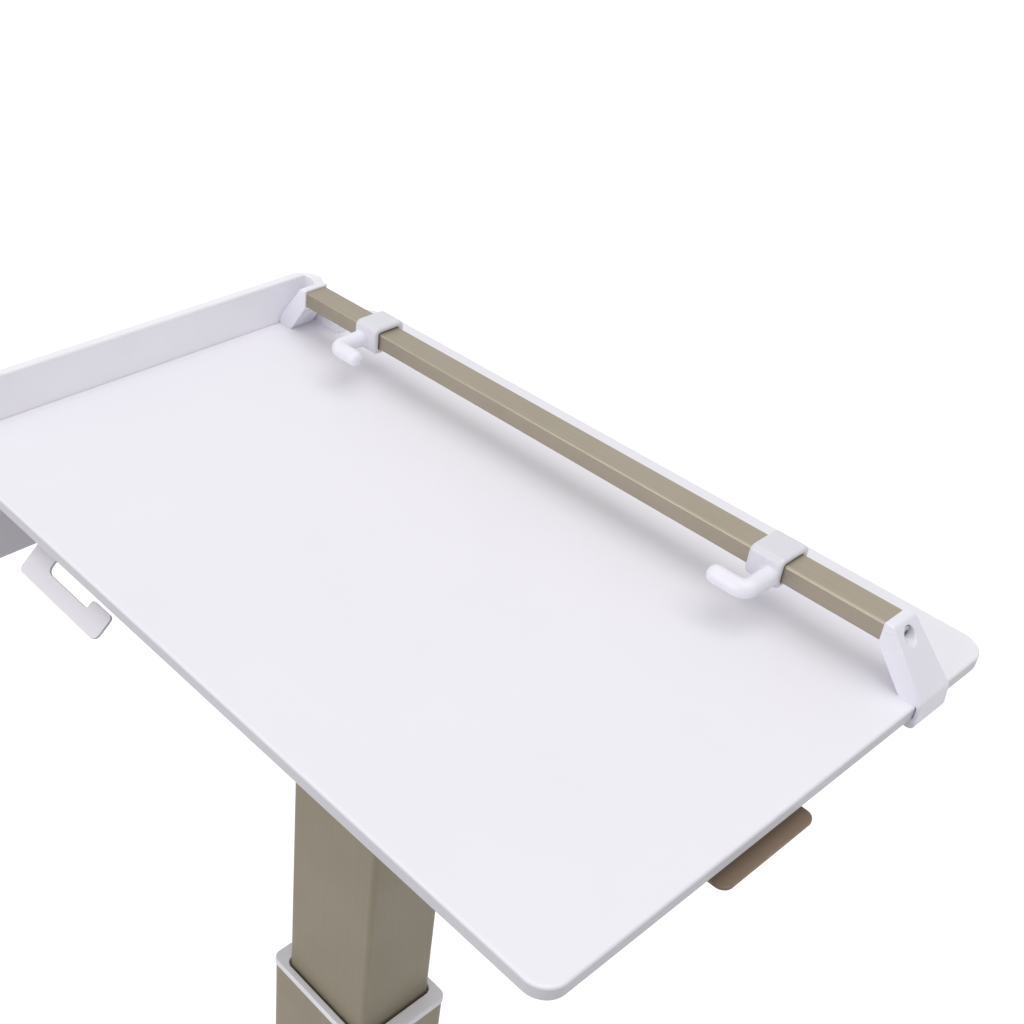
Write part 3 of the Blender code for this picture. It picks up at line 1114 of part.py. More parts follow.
def build_mouse_tray():
    """Build the sliding mouse tray, its two rails and the screw that stops it."""
    tray = add_object("mouse_tray", extruded(tray_outline(), "XY", TRAY_BOTTOM_Z, TRAY_TOP_Z),
                      taupe_powder_coat(), (TRAY_INNER_X, TRAY_CENTRE_Y, TRAY_BOTTOM_Z))
    shank = STOP_SCREW_RADIUS + RUNNING_CLEARANCE
    slot_length = TRAY_TRAVEL + 2.0 * shank
    slot_centre = (STOP_SCREW_X + shank - slot_length / 2.0, TRAY_CENTRE_Y)
    slot = rectangle(slot_length, 2.0 * shank, 0.9 * shank, slot_centre, 3)
    cut(tray, extruded(slot, "XY", TRAY_BOTTOM_Z - SEAT_GAP, TRAY_TOP_Z + SEAT_GAP))
    shade(tray)
    seat = (STOP_SCREW_X, TRAY_CENTRE_Y, TRAY_BOTTOM_Z - RUNNING_CLEARANCE)
    length = WORKTOP_BOTTOM_Z + WORKTOP_SCREW_BITE - seat[2]
    screw = socket_head_screw(STOP_SCREW_HEAD_RADIUS, STOP_SCREW_HEAD_HEIGHT, STOP_SCREW_RADIUS, length, "-Z", seat)
    shade(add_object("tray_stop_screw", screw, zinc_plated_steel(), seat))
    for name, side in (("front", -1.0), ("rear", 1.0)):
        build_rail(name, side)


def build_rail(name, side):
    """Build a grooved rail for one edge of the mouse tray."""
    edge = TRAY_WIDTH / 2.0 + RUNNING_CLEARANCE
    mouth = edge - RAIL_GROOVE_DEPTH
    back = mouth + RAIL_WIDTH
    top = WORKTOP_BOTTOM_Z - SEAT_GAP
    groove_top = TRAY_TOP_Z + RUNNING_CLEARANCE
    groove_bottom = TRAY_BOTTOM_Z - RUNNING_CLEARANCE
    bottom = groove_bottom - RAIL_LOWER_LIP
    section = [(mouth, top), (back, top), (back, bottom), (mouth, bottom), (mouth, groove_bottom),
               (edge, groove_bottom), (edge, groove_top), (mouth, groove_top)]
    outline = [(TRAY_CENTRE_Y + side * y, z) for y, z in section]
    rail = extruded(outline, "YZ", RAIL_INNER_X, RAIL_INNER_X + RAIL_LENGTH)
    shade(add_object("tray_rail_" + name, rail, acetal(), (RAIL_INNER_X, TRAY_CENTRE_Y + side * back, bottom)))


# Lift lever

def paddle_outline():
    """Return the paddle's flat outline, as (x, distance down the tilted sheet)."""
    left = LEVER_LEFT_X
    right = LEVER_LEFT_X + LEVER_WIDTH
    slot_left = left + LEVER_ARM_WIDTH
    slot_right = right - LEVER_UPSTAND_WIDTH
    corners = [(left, -LEVER_SHEET, 0.0), (slot_left, -LEVER_SHEET, 0.0),
               (slot_left, LEVER_SLOT_DEPTH, 0.0045), (slot_right, LEVER_SLOT_DEPTH, 0.0015),
               (slot_right, LEVER_UPSTAND_TOP, 0.0025), (right, LEVER_UPSTAND_TOP, 0.0030),
               (right, LEVER_PADDLE_LENGTH, 0.0050), (left, LEVER_PADDLE_LENGTH, 0.0040)]
    return filleted(corners)


def build_lever():
    """Build the lift lever, the bracket with its two ears and the pin between them."""
    half_sheet = LEVER_SHEET / 2.0
    pivot = (LEVER_ARM_CENTRE_X, LEVER_PIVOT_Y, LEVER_BEND_Z)
    bend = (0.0, LEVER_BEND_Y, LEVER_BEND_Z)
    paddle = extruded(paddle_outline(), "XY", -half_sheet, half_sheet)
    tilt = Matrix.Rotation(math.pi, 4, "Z") @ Matrix.Scale(-1.0, 4, (1.0, 0.0, 0.0))
    bmesh.ops.transform(paddle, matrix=Matrix.Translation(bend) @ Matrix.Rotation(LEVER_TILT, 4, "X") @ tilt,
                        verts=paddle.verts)
    bmesh.ops.recalc_face_normals(paddle, faces=paddle.faces)
    lever = add_object("lift_lever", paddle, white_powder_coat(), pivot)
    arm_x = (LEVER_LEFT_X, LEVER_LEFT_X + LEVER_ARM_WIDTH)
    unite(lever, box(arm_x, (LEVER_BEND_Y, LEVER_PIVOT_Y), (LEVER_BEND_Z - half_sheet, LEVER_BEND_Z + half_sheet)))
    half_arm = LEVER_ARM_WIDTH / 2.0
    unite(lever, drill(LEVER_BARREL_RADIUS, -half_arm, half_arm, "X", pivot, 16))
    cut(lever, drill(LEVER_PIN_RADIUS + RUNNING_CLEARANCE, -LEVER_ARM_WIDTH, LEVER_ARM_WIDTH, "X", pivot))
    shade(lever)
    top = WORKTOP_BOTTOM_Z - SEAT_GAP
    ear_inner = half_arm + RUNNING_CLEARANCE
    ear_outer = ear_inner + LEVER_EAR_THICKNESS
    plate = box((pivot[0] - ear_outer, pivot[0] + ear_outer),
                (LEVER_PIVOT_Y - 2.0 * LEVER_EAR_RADIUS, LEVER_PIVOT_Y + 2.0 * LEVER_EAR_RADIUS),
                (top - LEVER_PLATE_THICKNESS, top))
    bracket = add_object("lever_bracket", plate, zinc_plated_steel(), pivot)
    ear = filleted([(LEVER_PIVOT_Y - 1.5 * LEVER_EAR_RADIUS, top - LEVER_PLATE_THICKNESS / 2.0, 0.0),
                    (LEVER_PIVOT_Y - LEVER_EAR_RADIUS, LEVER_BEND_Z - LEVER_EAR_RADIUS, 0.9 * LEVER_EAR_RADIUS),
                    (LEVER_PIVOT_Y + LEVER_EAR_RADIUS, LEVER_BEND_Z - LEVER_EAR_RADIUS, 0.9 * LEVER_EAR_RADIUS),
                    (LEVER_PIVOT_Y + 1.5 * LEVER_EAR_RADIUS, top - LEVER_PLATE_THICKNESS / 2.0, 0.0)])
    for side in (-1.0, 1.0):
        limits = sorted((pivot[0] + side * ear_inner, pivot[0] + side * ear_outer))
        unite(bracket, extruded(ear, "YZ", limits[0], limits[1]))
    cut(bracket, drill(LEVER_PIN_RADIUS + SEAT_GAP, -LEVER_ARM_WIDTH, LEVER_ARM_WIDTH, "X", pivot))
    shade(bracket)
    shade(add_object("lever_pin", drill(LEVER_PIN_RADIUS, -ear_outer, ear_outer, "X", pivot),
                     zinc_plated_steel(), pivot))


def main():
    for item in list(bpy.data.objects):
        bpy.data.objects.remove(item, do_unlink=True)
    build_casters()
    build_base()
    build_outer_column()
    build_inner_column()
    build_gas_spring()
    build_worktop()
    build_frame()
    build_side_panel()
    build_bar()
    build_bracket("right", 1.0, RIGHT_BRACKET_INBOARD, RIGHT_BRACKET_WEB, BRACKET_FLARE)
    build_bracket("left", -1.0, LEFT_BRACKET_INBOARD, LEFT_BRACKET_WEB, 0.0)
    build_hook("right", 1.0)
    build_hook("left", -1.0)
    build_mouse_tray()
    build_lever()


main()
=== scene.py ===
"""Visual model of a height-adjustable laptop cart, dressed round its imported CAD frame.

Metres, +Z up, +X to the user's right, +Y away from the user. Every piece is built where its CAD solid
lies and rides on the same body.
"""

import json
import logging
import math
from collections.abc import Callable, Sequence
from dataclasses import dataclass
from enum import Enum

import bmesh
import bpy
from mathutils import Matrix, Vector


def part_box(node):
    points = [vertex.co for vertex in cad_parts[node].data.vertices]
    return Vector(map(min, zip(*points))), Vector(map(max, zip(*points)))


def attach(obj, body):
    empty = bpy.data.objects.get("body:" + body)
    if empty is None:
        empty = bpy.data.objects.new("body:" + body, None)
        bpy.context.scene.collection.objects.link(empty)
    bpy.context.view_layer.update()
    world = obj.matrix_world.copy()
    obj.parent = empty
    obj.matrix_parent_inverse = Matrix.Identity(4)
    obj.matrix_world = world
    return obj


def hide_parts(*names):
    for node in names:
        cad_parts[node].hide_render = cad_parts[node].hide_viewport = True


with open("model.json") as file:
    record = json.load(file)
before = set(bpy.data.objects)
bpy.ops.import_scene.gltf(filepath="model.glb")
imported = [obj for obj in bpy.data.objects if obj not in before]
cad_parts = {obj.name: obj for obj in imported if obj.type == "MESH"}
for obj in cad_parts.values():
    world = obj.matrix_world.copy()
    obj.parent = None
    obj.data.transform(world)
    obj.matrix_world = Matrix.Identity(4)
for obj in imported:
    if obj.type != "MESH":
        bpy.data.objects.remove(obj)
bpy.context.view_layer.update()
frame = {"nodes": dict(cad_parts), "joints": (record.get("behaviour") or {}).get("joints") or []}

LOG = logging.getLogger("laptop_cart")
MM = 0.001
ARC_STEPS = 10
ROUND_STEPS = 48
SHARP_ANGLE = math.radians(32.0)
# Heights and positions closer than this count as the same.
TOUCH = 1e-6
# How far the fence and the brackets reach below the worktop's top, and the gap that seated pieces keep.
SEAT_DEPTH = 0.7 * MM
SEAT_GAP = 0.3 * MM

Outline = list[tuple[float, float]]
Corner = tuple[float, float, float]
Profile = list[tuple[float, float]]
Span = tuple[float, float]
Station = tuple[float, float, float]
Colour = tuple[float, float, float, float]
EdgeTest = Callable[[bmesh.types.BMEdge], bool]
Tree = bpy.types.NodeTree
Socket = bpy.types.NodeSocket


class Plane(Enum):
    """The plane that an outline is drawn in. A prism grows along its normal."""

    XY = "XY"
    XZ = "XZ"
    YZ = "YZ"

    def point(self, u: float, v: float, w: float) -> Vector:
        """Return the point at (u, v) in the plane, w along its normal."""
        if self is Plane.XY:
            return Vector((u, v, w))
        if self is Plane.XZ:
            return Vector((u, w, v))
        return Vector((w, u, v))


class Axis(Enum):
    """The direction in which a turned solid's own Z axis points."""

    UP = "UP"
    DOWN = "DOWN"
    RIGHT = "RIGHT"
    LEFT = "LEFT"
    FRONT = "FRONT"

    def matrix(self) -> Matrix:
        """Return the turn from Z to this direction."""
        if self is Axis.UP:
            return Matrix.Identity(4)
        if self is Axis.DOWN:
            return Matrix.Rotation(math.pi, 4, "X")
        if self is Axis.RIGHT:
            return Matrix.Rotation(math.pi / 2.0, 4, "Y")
        if self is Axis.FRONT:
            return Matrix.Rotation(math.pi / 2.0, 4, "X")
        return Matrix.Rotation(-math.pi / 2.0, 4, "Y")


class Join(Enum):
    """How two solids are combined."""

    CUT = "DIFFERENCE"
    UNITE = "UNION"


# Outlines


def rounded(corners: Sequence[Corner], steps: int = ARC_STEPS) -> Outline:
    """Round the corners of a polygon.

    Args:
        corners: (u, v, radius) for each corner, in order.
        steps: segments in each rounded corner.

    Returns:
        The outline's points.
    """
    outline: Outline = []
    for index, (u, v, radius) in enumerate(corners):
        if radius == 0.0:
            outline.append((u, v))
            continue
        before = corners[index - 1]
        after = corners[(index + 1) % len(corners)]
        angle_in = math.atan2(before[1] - v, before[0] - u)
        angle_out = math.atan2(after[1] - v, after[0] - u)
        turn = (angle_out - angle_in + math.pi) % (2.0 * math.pi) - math.pi
        half = abs(turn) / 2.0
        middle = angle_in + turn / 2.0
        centre_u = u + radius / math.sin(half) * math.cos(middle)
        centre_v = v + radius / math.sin(half) * math.sin(middle)
        sweep = math.copysign(math.pi - 2.0 * half, -turn)
        start = middle + math.pi - sweep / 2.0
        for step in range(steps + 1):
            angle = start + sweep * step / steps
            outline.append((centre_u + radius * math.cos(angle), centre_v + radius * math.sin(angle)))
    return outline


def rectangle(width: float, depth: float, radius: float, centre: Span = (0.0, 0.0),
              steps: int = ARC_STEPS) -> Outline:
    """Outline a rectangle with equal corner radii.

    Args:
        width: size along u.
        depth: size along v.
        radius: corner radius.
        centre: middle of the rectangle.
        steps: segments in each corner.

    Returns:
        The outline's points.
    """
    u, v = width / 2.0, depth / 2.0
    corners = [(centre[0] + u, centre[1] - v, radius), (centre[0] + u, centre[1] + v, radius),
               (centre[0] - u, centre[1] + v, radius), (centre[0] - u, centre[1] - v, radius)]
    return rounded(corners, steps)


def circle(radius: float, steps: int = ROUND_STEPS) -> Outline:
    """Return a circle's points about the origin."""
    angles = [2.0 * math.pi * step / steps for step in range(steps)]
    return [(radius * math.cos(angle), radius * math.sin(angle)) for angle in angles]


def box_size(node: str) -> Vector:
    """Return a CAD node's size along X, Y and Z."""
    low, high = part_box(node)
    return high - low


def box_centre(node: str) -> Vector:
    """Return the middle of a CAD node's box."""
    low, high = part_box(node)
    return (low + high) / 2.0


def level_at(height: float) -> EdgeTest:
    """Return a test for edges that lie level at a height."""
    return lambda edge: all(abs(vert.co.z - height) < TOUCH for vert in edge.verts)


# Solids


class Solid:
    """A closed mesh under construction, in the cart's frame."""

    def __init__(self, mesh: bmesh.types.BMesh) -> None:
        """Take over a mesh and turn its faces outward."""
        self.mesh = mesh
        bmesh.ops.recalc_face_normals(mesh, faces=mesh.faces)

    @staticmethod
    def _bridge(mesh: bmesh.types.BMesh, pairs: Sequence[tuple[list, list]]) -> None:
        """Join pairs of vertex rings with faces; a ring of one vertex is a pole."""
        for ring, following in pairs:
            steps = max(len(ring), len(following))
            for step in range(steps):
                after = (step + 1) % steps
                corners = [ring[step % len(ring)], ring[after % len(ring)],
                           following[after % len(following)], following[step % len(following)]]
                mesh.faces.new(list(dict.fromkeys(corners)))

    @classmethod
    def prism(cls, outline: Outline, plane: Plane, low: float, high: float) -> "Solid":
        """Extrude an outline between two positions on its plane's normal.

        Args:
            outline: the prism's section.
            plane: the plane of the section.
            low: where the prism starts.
            high: where it ends.

        Returns:
            The prism.
        """
        mesh = bmesh.new()
        face = mesh.faces.new([mesh.verts.new(plane.point(u, v, low)) for u, v in outline])
        grown = bmesh.ops.extrude_face_region(mesh, geom=[face])
        moved = [item for item in grown["geom"] if isinstance(item, bmesh.types.BMVert)]
        bmesh.ops.translate(mesh, verts=moved, vec=plane.point(0.0, 0.0, high - low))
        return cls(mesh)

    @classmethod
    def tube(cls, outer: Outline, inner: Outline, low: float, high: float,
             plane: Plane = Plane.XY) -> "Solid":
        """Make a prism with a through hole; both outlines have the same number of points.

        Args:
            outer: the outside section.
            inner: the hole's section.
            low: where the tube starts.
            high: where it ends.
            plane: the plane of the sections.

        Returns:
            The tube.
        """
        mesh = bmesh.new()
        rings = []
        for outline, position in ((outer, low), (outer, high), (inner, high), (inner, low)):
            rings.append([mesh.verts.new(plane.point(u, v, position)) for u, v in outline])
        cls._bridge(mesh, list(zip(rings, rings[1:] + rings[:1])))
        return cls(mesh)

    @classmethod
    def turned(cls, profile: Profile, axis: Axis = Axis.UP, centre: Sequence[float] = (0.0, 0.0, 0.0),
               steps: int = ROUND_STEPS) -> "Solid":
        """Turn a profile about an axis.

        Args:
            profile: (radius, position along the axis) points; a ring where it doesn't start at radius 0.
            axis: the axis's direction.
            centre: the point at position 0 on the axis.
            steps: segments round the axis.

        Returns:
            The turned solid.
        """
        mesh = bmesh.new()
        rings = []
        for radius, height in profile:
            if radius == 0.0:
                rings.append([mesh.verts.new((0.0, 0.0, height))])
            else:
                rings.append([mesh.verts.new((u, v, height)) for u, v in circle(radius, steps)])
        pairs = list(zip(rings, rings[1:]))
        if profile[0][0] > 0.0:
            pairs.append((rings[-1], rings[0]))
        cls._bridge(mesh, pairs)
        bmesh.ops.transform(mesh, matrix=Matrix.Translation(centre) @ axis.matrix(), verts=mesh.verts)
        return cls(mesh)

    @classmethod
    def swept(cls, spine: Sequence[Station], height: float, steps: int = 32) -> "Solid":
        """Sweep a round rod along a level line, with flat ends.

        Args:
            spine: (x, y, radius) stations along the rod's centre line.
            height: the centre line's height.
            steps: segments round the rod.

        Returns:
            The rod.
        """
        mesh = bmesh.new()
        rings = []
        for index, (x, y, radius) in enumerate(spine):
            before = spine[max(index - 1, 0)]
            after = spine[min(index + 1, len(spine) - 1)]
            across = Vector((before[1] - after[1], after[0] - before[0])).normalized()
            rings.append([mesh.verts.new((x + u * across.x, y + u * across.y, height + v))
                          for u, v in circle(radius, steps)])
        cls._bridge(mesh, list(zip(rings, rings[1:])))
        mesh.faces.new(rings[0])
        mesh.faces.new(rings[-1])
        return cls(mesh)

    def round_edges(self, width: float, segments: int = 3, chosen: EdgeTest | None = None) -> "Solid":
        """Round the sharp edges.

        Args:
            width: how far the rounding reaches onto each face.
            segments: facets across the rounding.
            chosen: a test for the edges to round; all sharp edges where it is left out.

        Returns:
            This solid.
        """
        edges = [edge for edge in self.mesh.edges
                 if len(edge.link_faces) == 2 and edge.calc_face_angle() > SHARP_ANGLE
                 and (chosen is None or chosen(edge))]
        bmesh.ops.bevel(self.mesh, geom=edges, offset=width, segments=segments, profile=0.5,
                        affect="EDGES", clamp_overlap=True)
        return self

    def moved(self, matrix: Matrix) -> "Solid":
        """Transform the solid and return it."""
        bmesh.ops.transform(self.mesh, matrix=matrix, verts=self.mesh.verts)
        if matrix.determinant() < 0.0:
            bmesh.ops.reverse_faces(self.mesh, faces=self.mesh.faces)
        return self

    def combined(self, other: "Solid", join: Join) -> "Solid":
        """Cut another solid from this one, or unite them.

        Args:
            other: the second solid, which is used up.
            join: what to do with it.

        Returns:
            This solid.
        """
        first, second = self.as_object("solid"), other.as_object("tool")
        modifier = first.modifiers.new("combine", "BOOLEAN")
        modifier.solver = "EXACT"
        modifier.operation = join.value
        modifier.object = second
        self._take(first)
        spare = second.data
        bpy.data.objects.remove(second)
        bpy.data.meshes.remove(spare)
        return self

    def cut(self, other: "Solid") -> "Solid":
        """Cut another solid from this one."""
        return self.combined(other, Join.CUT)

    def united(self, other: "Solid") -> "Solid":
        """Unite another solid with this one."""
        return self.combined(other, Join.UNITE)

    def melted(self, voxel: float, passes: int) -> "Solid":
        """Blend all joins and edges into one soft moulded skin.

        Args:
            voxel: size of the skin's cells.
            passes: smoothing passes; each softens the edges further.

        Returns:
            This solid.
        """
        skin = self.as_object("skin")
        remesh = skin.modifiers.new("skin", "REMESH")
        remesh.mode = "VOXEL"
        remesh.voxel_size = voxel
        smooth = skin.modifiers.new("smooth", "SMOOTH")
        smooth.factor = 0.5
        smooth.iterations = passes
        self._take(skin)
        return self

    def _take(self, piece: bpy.types.Object) -> None:
        """Replace this solid's mesh by an object's modified mesh, and remove the object."""
        bpy.context.view_layer.update()
        graph = bpy.context.evaluated_depsgraph_get()
        result = bpy.data.meshes.new_from_object(piece.evaluated_get(graph))
        spare = piece.data
        bpy.data.objects.remove(piece)
        bpy.data.meshes.remove(spare)
        self.mesh = bmesh.new()
        self.mesh.from_mesh(result)
        bpy.data.meshes.remove(result)

    def as_object(self, name: str) -> bpy.types.Object:
        """Hand the mesh over to a new object in the scene.

        Args:
            name: the object's name.

        Returns:
            The object.
        """
        mesh = bpy.data.meshes.new(name)
        self.mesh.to_mesh(mesh)
        self.mesh.free()
        piece = bpy.data.objects.new(name, mesh)
        bpy.context.scene.collection.objects.link(piece)
        return piece


# Finishes


def linear(code: str) -> Colour:
    """Turn an sRGB hex colour to the linear colour that a shader takes."""
    channels = [int(code[start:start + 2], 16) / 255.0 for start in (1, 3, 5)]
    values = [value / 12.92 if value <= 0.04045 else ((value + 0.055) / 1.055) ** 2.4 for value in channels]
    return (values[0], values[1], values[2], 1.0)


def add_node(tree: Tree, kind: str, inputs: dict | None = None, **settings: object) -> bpy.types.Node:
    """Add a node to a tree.

    Args:
        tree: the material's node tree.
        kind: the node's type.
        inputs: a value or a socket to link, by input name or number.
        settings: the node's own properties.

    Returns:
        The node.
    """
    node = tree.nodes.new(kind)
    for key, value in settings.items():
        setattr(node, key, value)
    for key, value in (inputs or {}).items():
        if isinstance(value, bpy.types.NodeSocket):
            tree.links.new(value, node.inputs[key])
        else:
            node.inputs[key].default_value = value
    return node


def noise(tree: Tree, place: Socket, size_mm: float, detail: float, **extra: float) -> Socket:
    """Add a noise.

    Args:
        tree: the node tree.
        place: the position that the noise follows.
        size_mm: size of its patches.
        detail: how many finer layers it has.
        extra: its Roughness or Distortion, where not the default.

    Returns:
        The noise's value.
    """
    inputs = {"Vector": place, "Scale": 1.0 / (size_mm * MM), "Detail": detail} | extra
    return add_node(tree, "ShaderNodeTexNoise", inputs).outputs["Fac"]


def ranged(tree: Tree, value: Socket, source: Span, target: Span = (0.0, 1.0)) -> Socket:
    """Return a value mapped from one range to another and kept within it."""
    inputs = {"Value": value, "From Min": source[0], "From Max": source[1], "To Min": target[0],
              "To Max": target[1]}
    return add_node(tree, "ShaderNodeMapRange", inputs).outputs["Result"]


def mixed(tree: Tree, share: Socket, first: Socket | Colour, second: Colour) -> Socket:
    """Return a colour that goes from the first to the second as the share grows."""
    inputs = {"Factor": share, "A": first, "B": second}
    return add_node(tree, "ShaderNodeMix", inputs, data_type="RGBA").outputs["Result"]


def worked(tree: Tree, operation: str, *values: Socket | float) -> Socket:
    """Return the result of a math operation on some values."""
    return add_node(tree, "ShaderNodeMath", dict(enumerate(values)), operation=operation).outputs[0]


def stretched(tree: Tree, place: Socket, factors: tuple[float, float, float]) -> Socket:
    """Return a position multiplied by a factor along each axis."""
    return add_node(tree, "ShaderNodeVectorMath", {0: place, 1: factors}, operation="MULTIPLY").outputs[0]


@dataclass(frozen=True)
class Layer:
    """A clean surface in its node tree, for a finish to mark.

    Attributes:
        tree: the material's node tree.
        place: the position that the patterns follow.
        tint: the clean colour.
        gloss: the clean roughness.
        texture: the fine texture's height.
    """

    tree: Tree
    place: Socket
    tint: Socket
    gloss: Socket
    texture: Socket


class Grain(Enum):
    """The direction of a surface's lines, as stretch factors along X, Y and Z."""

    ALL_ROUND = (1.0, 1.0, 1.0)
    ALONG_X = (0.004, 1.0, 1.0)
    ALONG_Z = (1.0, 1.0, 0.004)


@dataclass(frozen=True)
class Finish:
    """A surface with its colour, its gloss and the fine detail that its making leaves.

    Attributes:
        name: the material's name.
        colour: sRGB hex colour of the clean surface.
        shade: sRGB hex colour that it drifts to in soft patches.
        patch_mm: size of those patches.
        grain_mm: size of the surface texture.
        relief_mm: depth of the surface texture.
        roughness: micro roughness of the gloss.
        drift: how far the roughness wanders either way.
        metallic: 1 for bare or anodised metal.
        ior: refractive index; metals keep the default.
        coat: weight of a clear top layer.
        grain: the direction of the texture.
    """

    name: str
    colour: str
    shade: str
    patch_mm: float
    grain_mm: float
    relief_mm: float
    roughness: float
    drift: float = 0.05
    metallic: float = 0.0
    ior: float = 1.5
    coat: float = 0.0
    grain: Grain = Grain.ALL_ROUND

    def material(self) -> bpy.types.Material:
        """Return the finish's material, made once."""
        made = bpy.data.materials.get(self.name)
        if made is not None:
            return made
        made = bpy.data.materials.new(self.name)
        made.use_nodes = True
        made.diffuse_color = linear(self.colour)
        tree = made.node_tree
        shader = tree.nodes["Principled BSDF"]
        shader.inputs["Metallic"].default_value = self.metallic
        shader.inputs["IOR"].default_value = self.ior
        shader.inputs["Coat Weight"].default_value = self.coat
        place = add_node(tree, "ShaderNodeTexCoord").outputs["Object"]
        self.paint(tree, shader, place)
        return made

    def paint(self, tree: Tree, shader: bpy.types.Node, place: Socket) -> None:
        """Add the colour, gloss and relief nodes.

        Args:
            tree: the material's node tree.
            shader: its Principled shader.
            place: the position that the patterns follow.
        """
        patches = noise(tree, place, self.patch_mm, 3.0, Roughness=0.55)
        tint = mixed(tree, patches, linear(self.colour), linear(self.shade))
        texture = noise(tree, stretched(tree, place, self.grain.value), self.grain_mm, 2.0, Roughness=0.6)
        gloss = ranged(tree, patches, (0.3, 0.7), (self.roughness - self.drift, self.roughness + self.drift))
        relief = add_node(tree, "ShaderNodeBump",
                          {"Height": texture, "Strength": 0.6, "Distance": self.relief_mm * MM})
        colour, roughness = self.wear_and_painted_shade(Layer(tree, place, tint, gloss, texture))
        tree.links.new(colour, shader.inputs["Base Color"])
        tree.links.new(roughness, shader.inputs["Roughness"])
        tree.links.new(relief.outputs["Normal"], shader.inputs["Normal"])

    def wear_and_painted_shade(self, layer: Layer) -> tuple[Socket, Socket]:
        """Return the colour and the roughness; finishes add their wear and texture marks, and their painted
        shade, here.
        """
        return layer.tint, layer.gloss


@dataclass(frozen=True)
class PaintedShadeFinish(Finish):
    """A surface with painted shade: a darker tone that its colour changes to along one axis.

    Attributes:
        tone: sRGB hex colour of the painted shade beyond the change.
        tone_axis: the axis of the change.
        tone_start: position at which the second tone starts.
        tone_end: position from which it is full.
    """

    tone: str = "#FFFFFF"
    tone_axis: str = "Z"
    tone_start: float = 0.0
    tone_end: float = 1.0

    def toned(self, layer: Layer) -> Socket:
        """Return the clean colour with the painted shade mixed in."""
        position = add_node(layer.tree, "ShaderNodeSeparateXYZ", {0: layer.place}).outputs[self.tone_axis]
        # How much painted shade each point takes along the axis.
        over = ranged(layer.tree, position, (self.tone_start, self.tone_end))
        return mixed(layer.tree, over, layer.tint, linear(self.tone))

    def wear_and_painted_shade(self, layer: Layer) -> tuple[Socket, Socket]:
        """Return the colour with its painted shade, and the clean roughness."""
        return self.toned(layer), layer.gloss


@dataclass(frozen=True)
class WipedFinish(PaintedShadeFinish):
    """A pale film that is wiped clean often, so that faint streaks along X show in its gloss.

    Attributes:
        streak_mm: width of a wiping streak.
        streak_length: how many times longer than wide a streak is.
        streak_depth: how far a streak changes the roughness.
    """

    streak_mm: float = 9.0
    streak_length: float = 14.0
    streak_depth: float = 0.05

    def wear_and_painted_shade(self, layer: Layer) -> tuple[Socket, Socket]:
        """Return the colour with the painted shade on the edges, and the roughness with the streaks."""
        along = stretched(layer.tree, layer.place, (1.0 / self.streak_length, 1.0, 1.0))
        streaks = noise(layer.tree, along, self.streak_mm, 4.0, Distortion=0.4)
        return self.toned(layer), worked(layer.tree, "MULTIPLY_ADD", streaks, self.streak_depth, layer.gloss)


@dataclass(frozen=True)
class LinedFinish(Finish):
    """A drawn or extruded metal whose die lines run along the piece and break its reflections.

    Attributes:
        line_colour: sRGB hex colour in the bottom of the lines.
        line_share: how much of that colour the deepest line takes.
        line_roughness: how much rougher the lines are.
    """

    line_colour: str = "#5D5648"
    line_share: float = 0.35
    line_roughness: float = 0.10

    def wear_and_painted_shade(self, layer: Layer) -> tuple[Socket, Socket]:
        """Return the colour and the roughness with the lines darker and rougher."""
        depth = ranged(layer.tree, layer.texture, (0.35, 0.75), (0.0, self.line_share))
        lined = mixed(layer.tree, depth, layer.tint, linear(self.line_colour))
        return lined, worked(layer.tree, "MULTIPLY_ADD", layer.texture, self.line_roughness, layer.gloss)


@dataclass(frozen=True)
class ScuffedFinish(Finish):
    """A moulded surface near the floor, with pale scuffs and dust in its texture.

    Attributes:
        scuff_colour: sRGB hex colour of the scuffs.
        scuff_mm: size of a scuff.
        scuff_share: how strongly the scuffs show.
    """

    scuff_colour: str = "#A9A8A4"
    scuff_mm: float = 7.0
    scuff_share: float = 0.35

    def wear_and_painted_shade(self, layer: Layer) -> tuple[Socket, Socket]:
        """Return the scuffed colour and the clean roughness."""
        marks = noise(layer.tree, layer.place, self.scuff_mm, 8.0, Roughness=0.7)
        share = ranged(layer.tree, marks, (0.55, 0.75), (0.0, self.scuff_share))
        return mixed(layer.tree, share, layer.tint, linear(self.scuff_colour)), layer.gloss


# Vinyl film pressed in a membrane over fibreboard: an even, faintly lilac white whose fine matt grain
# spreads the highlights. Below the top the film is coloured greyer: painted shade on the edges.
VINYL_FILM = WipedFinish("vinyl_film_membrane_pressed", "#F1EFF6", "#EDEBF2", 70.0, 0.45, 0.012, 0.40,
                         ior=1.53, tone="#D7D5DC", tone_start=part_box("worktop")[1].z - 0.4 * MM,
                         tone_end=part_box("worktop")[1].z - 2.2 * MM)

# ABS moulded in a spark-eroded tool: a slightly cooler white with a soft satin grain.
MOULDED_ABS = Finish("abs_moulded_satin", "#F4F3F9", "#EFEDF4", 35.0, 0.60, 0.018, 0.42, ior=1.54)

# Gloss-tooled ABS for the end brackets: smoother, so the highlights stay crisp.
POLISHED_ABS = Finish("abs_moulded_smooth", "#EFEEF7", "#E9E8F2", 22.0, 0.80, 0.010, 0.30, ior=1.54)

# The hooks' moulding, with painted shade: the sleeve on the bar is coloured greyer than the arm and finger.
HOOK_ABS_PAINTED_SHADE = PaintedShadeFinish("abs_moulded_hook_painted_shade", "#EFEEF7", "#E9E8F2", 22.0, 0.80, 0.010, 0.30, ior=1.54,
                             tone="#DCDBE3", tone_axis="Y", tone_start=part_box("security_bar")[0].y - 4.4 * MM,
                             tone_end=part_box("security_bar")[0].y - 3.7 * MM)

# Polyester powder coat on steel and on the cast base: the slight orange peel shows in the highlights.
WHITE_POWDER = Finish("polyester_powder_coat_white", "#E8E4EB", "#E2DEE6", 50.0, 1.60, 0.030, 0.44, ior=1.5)
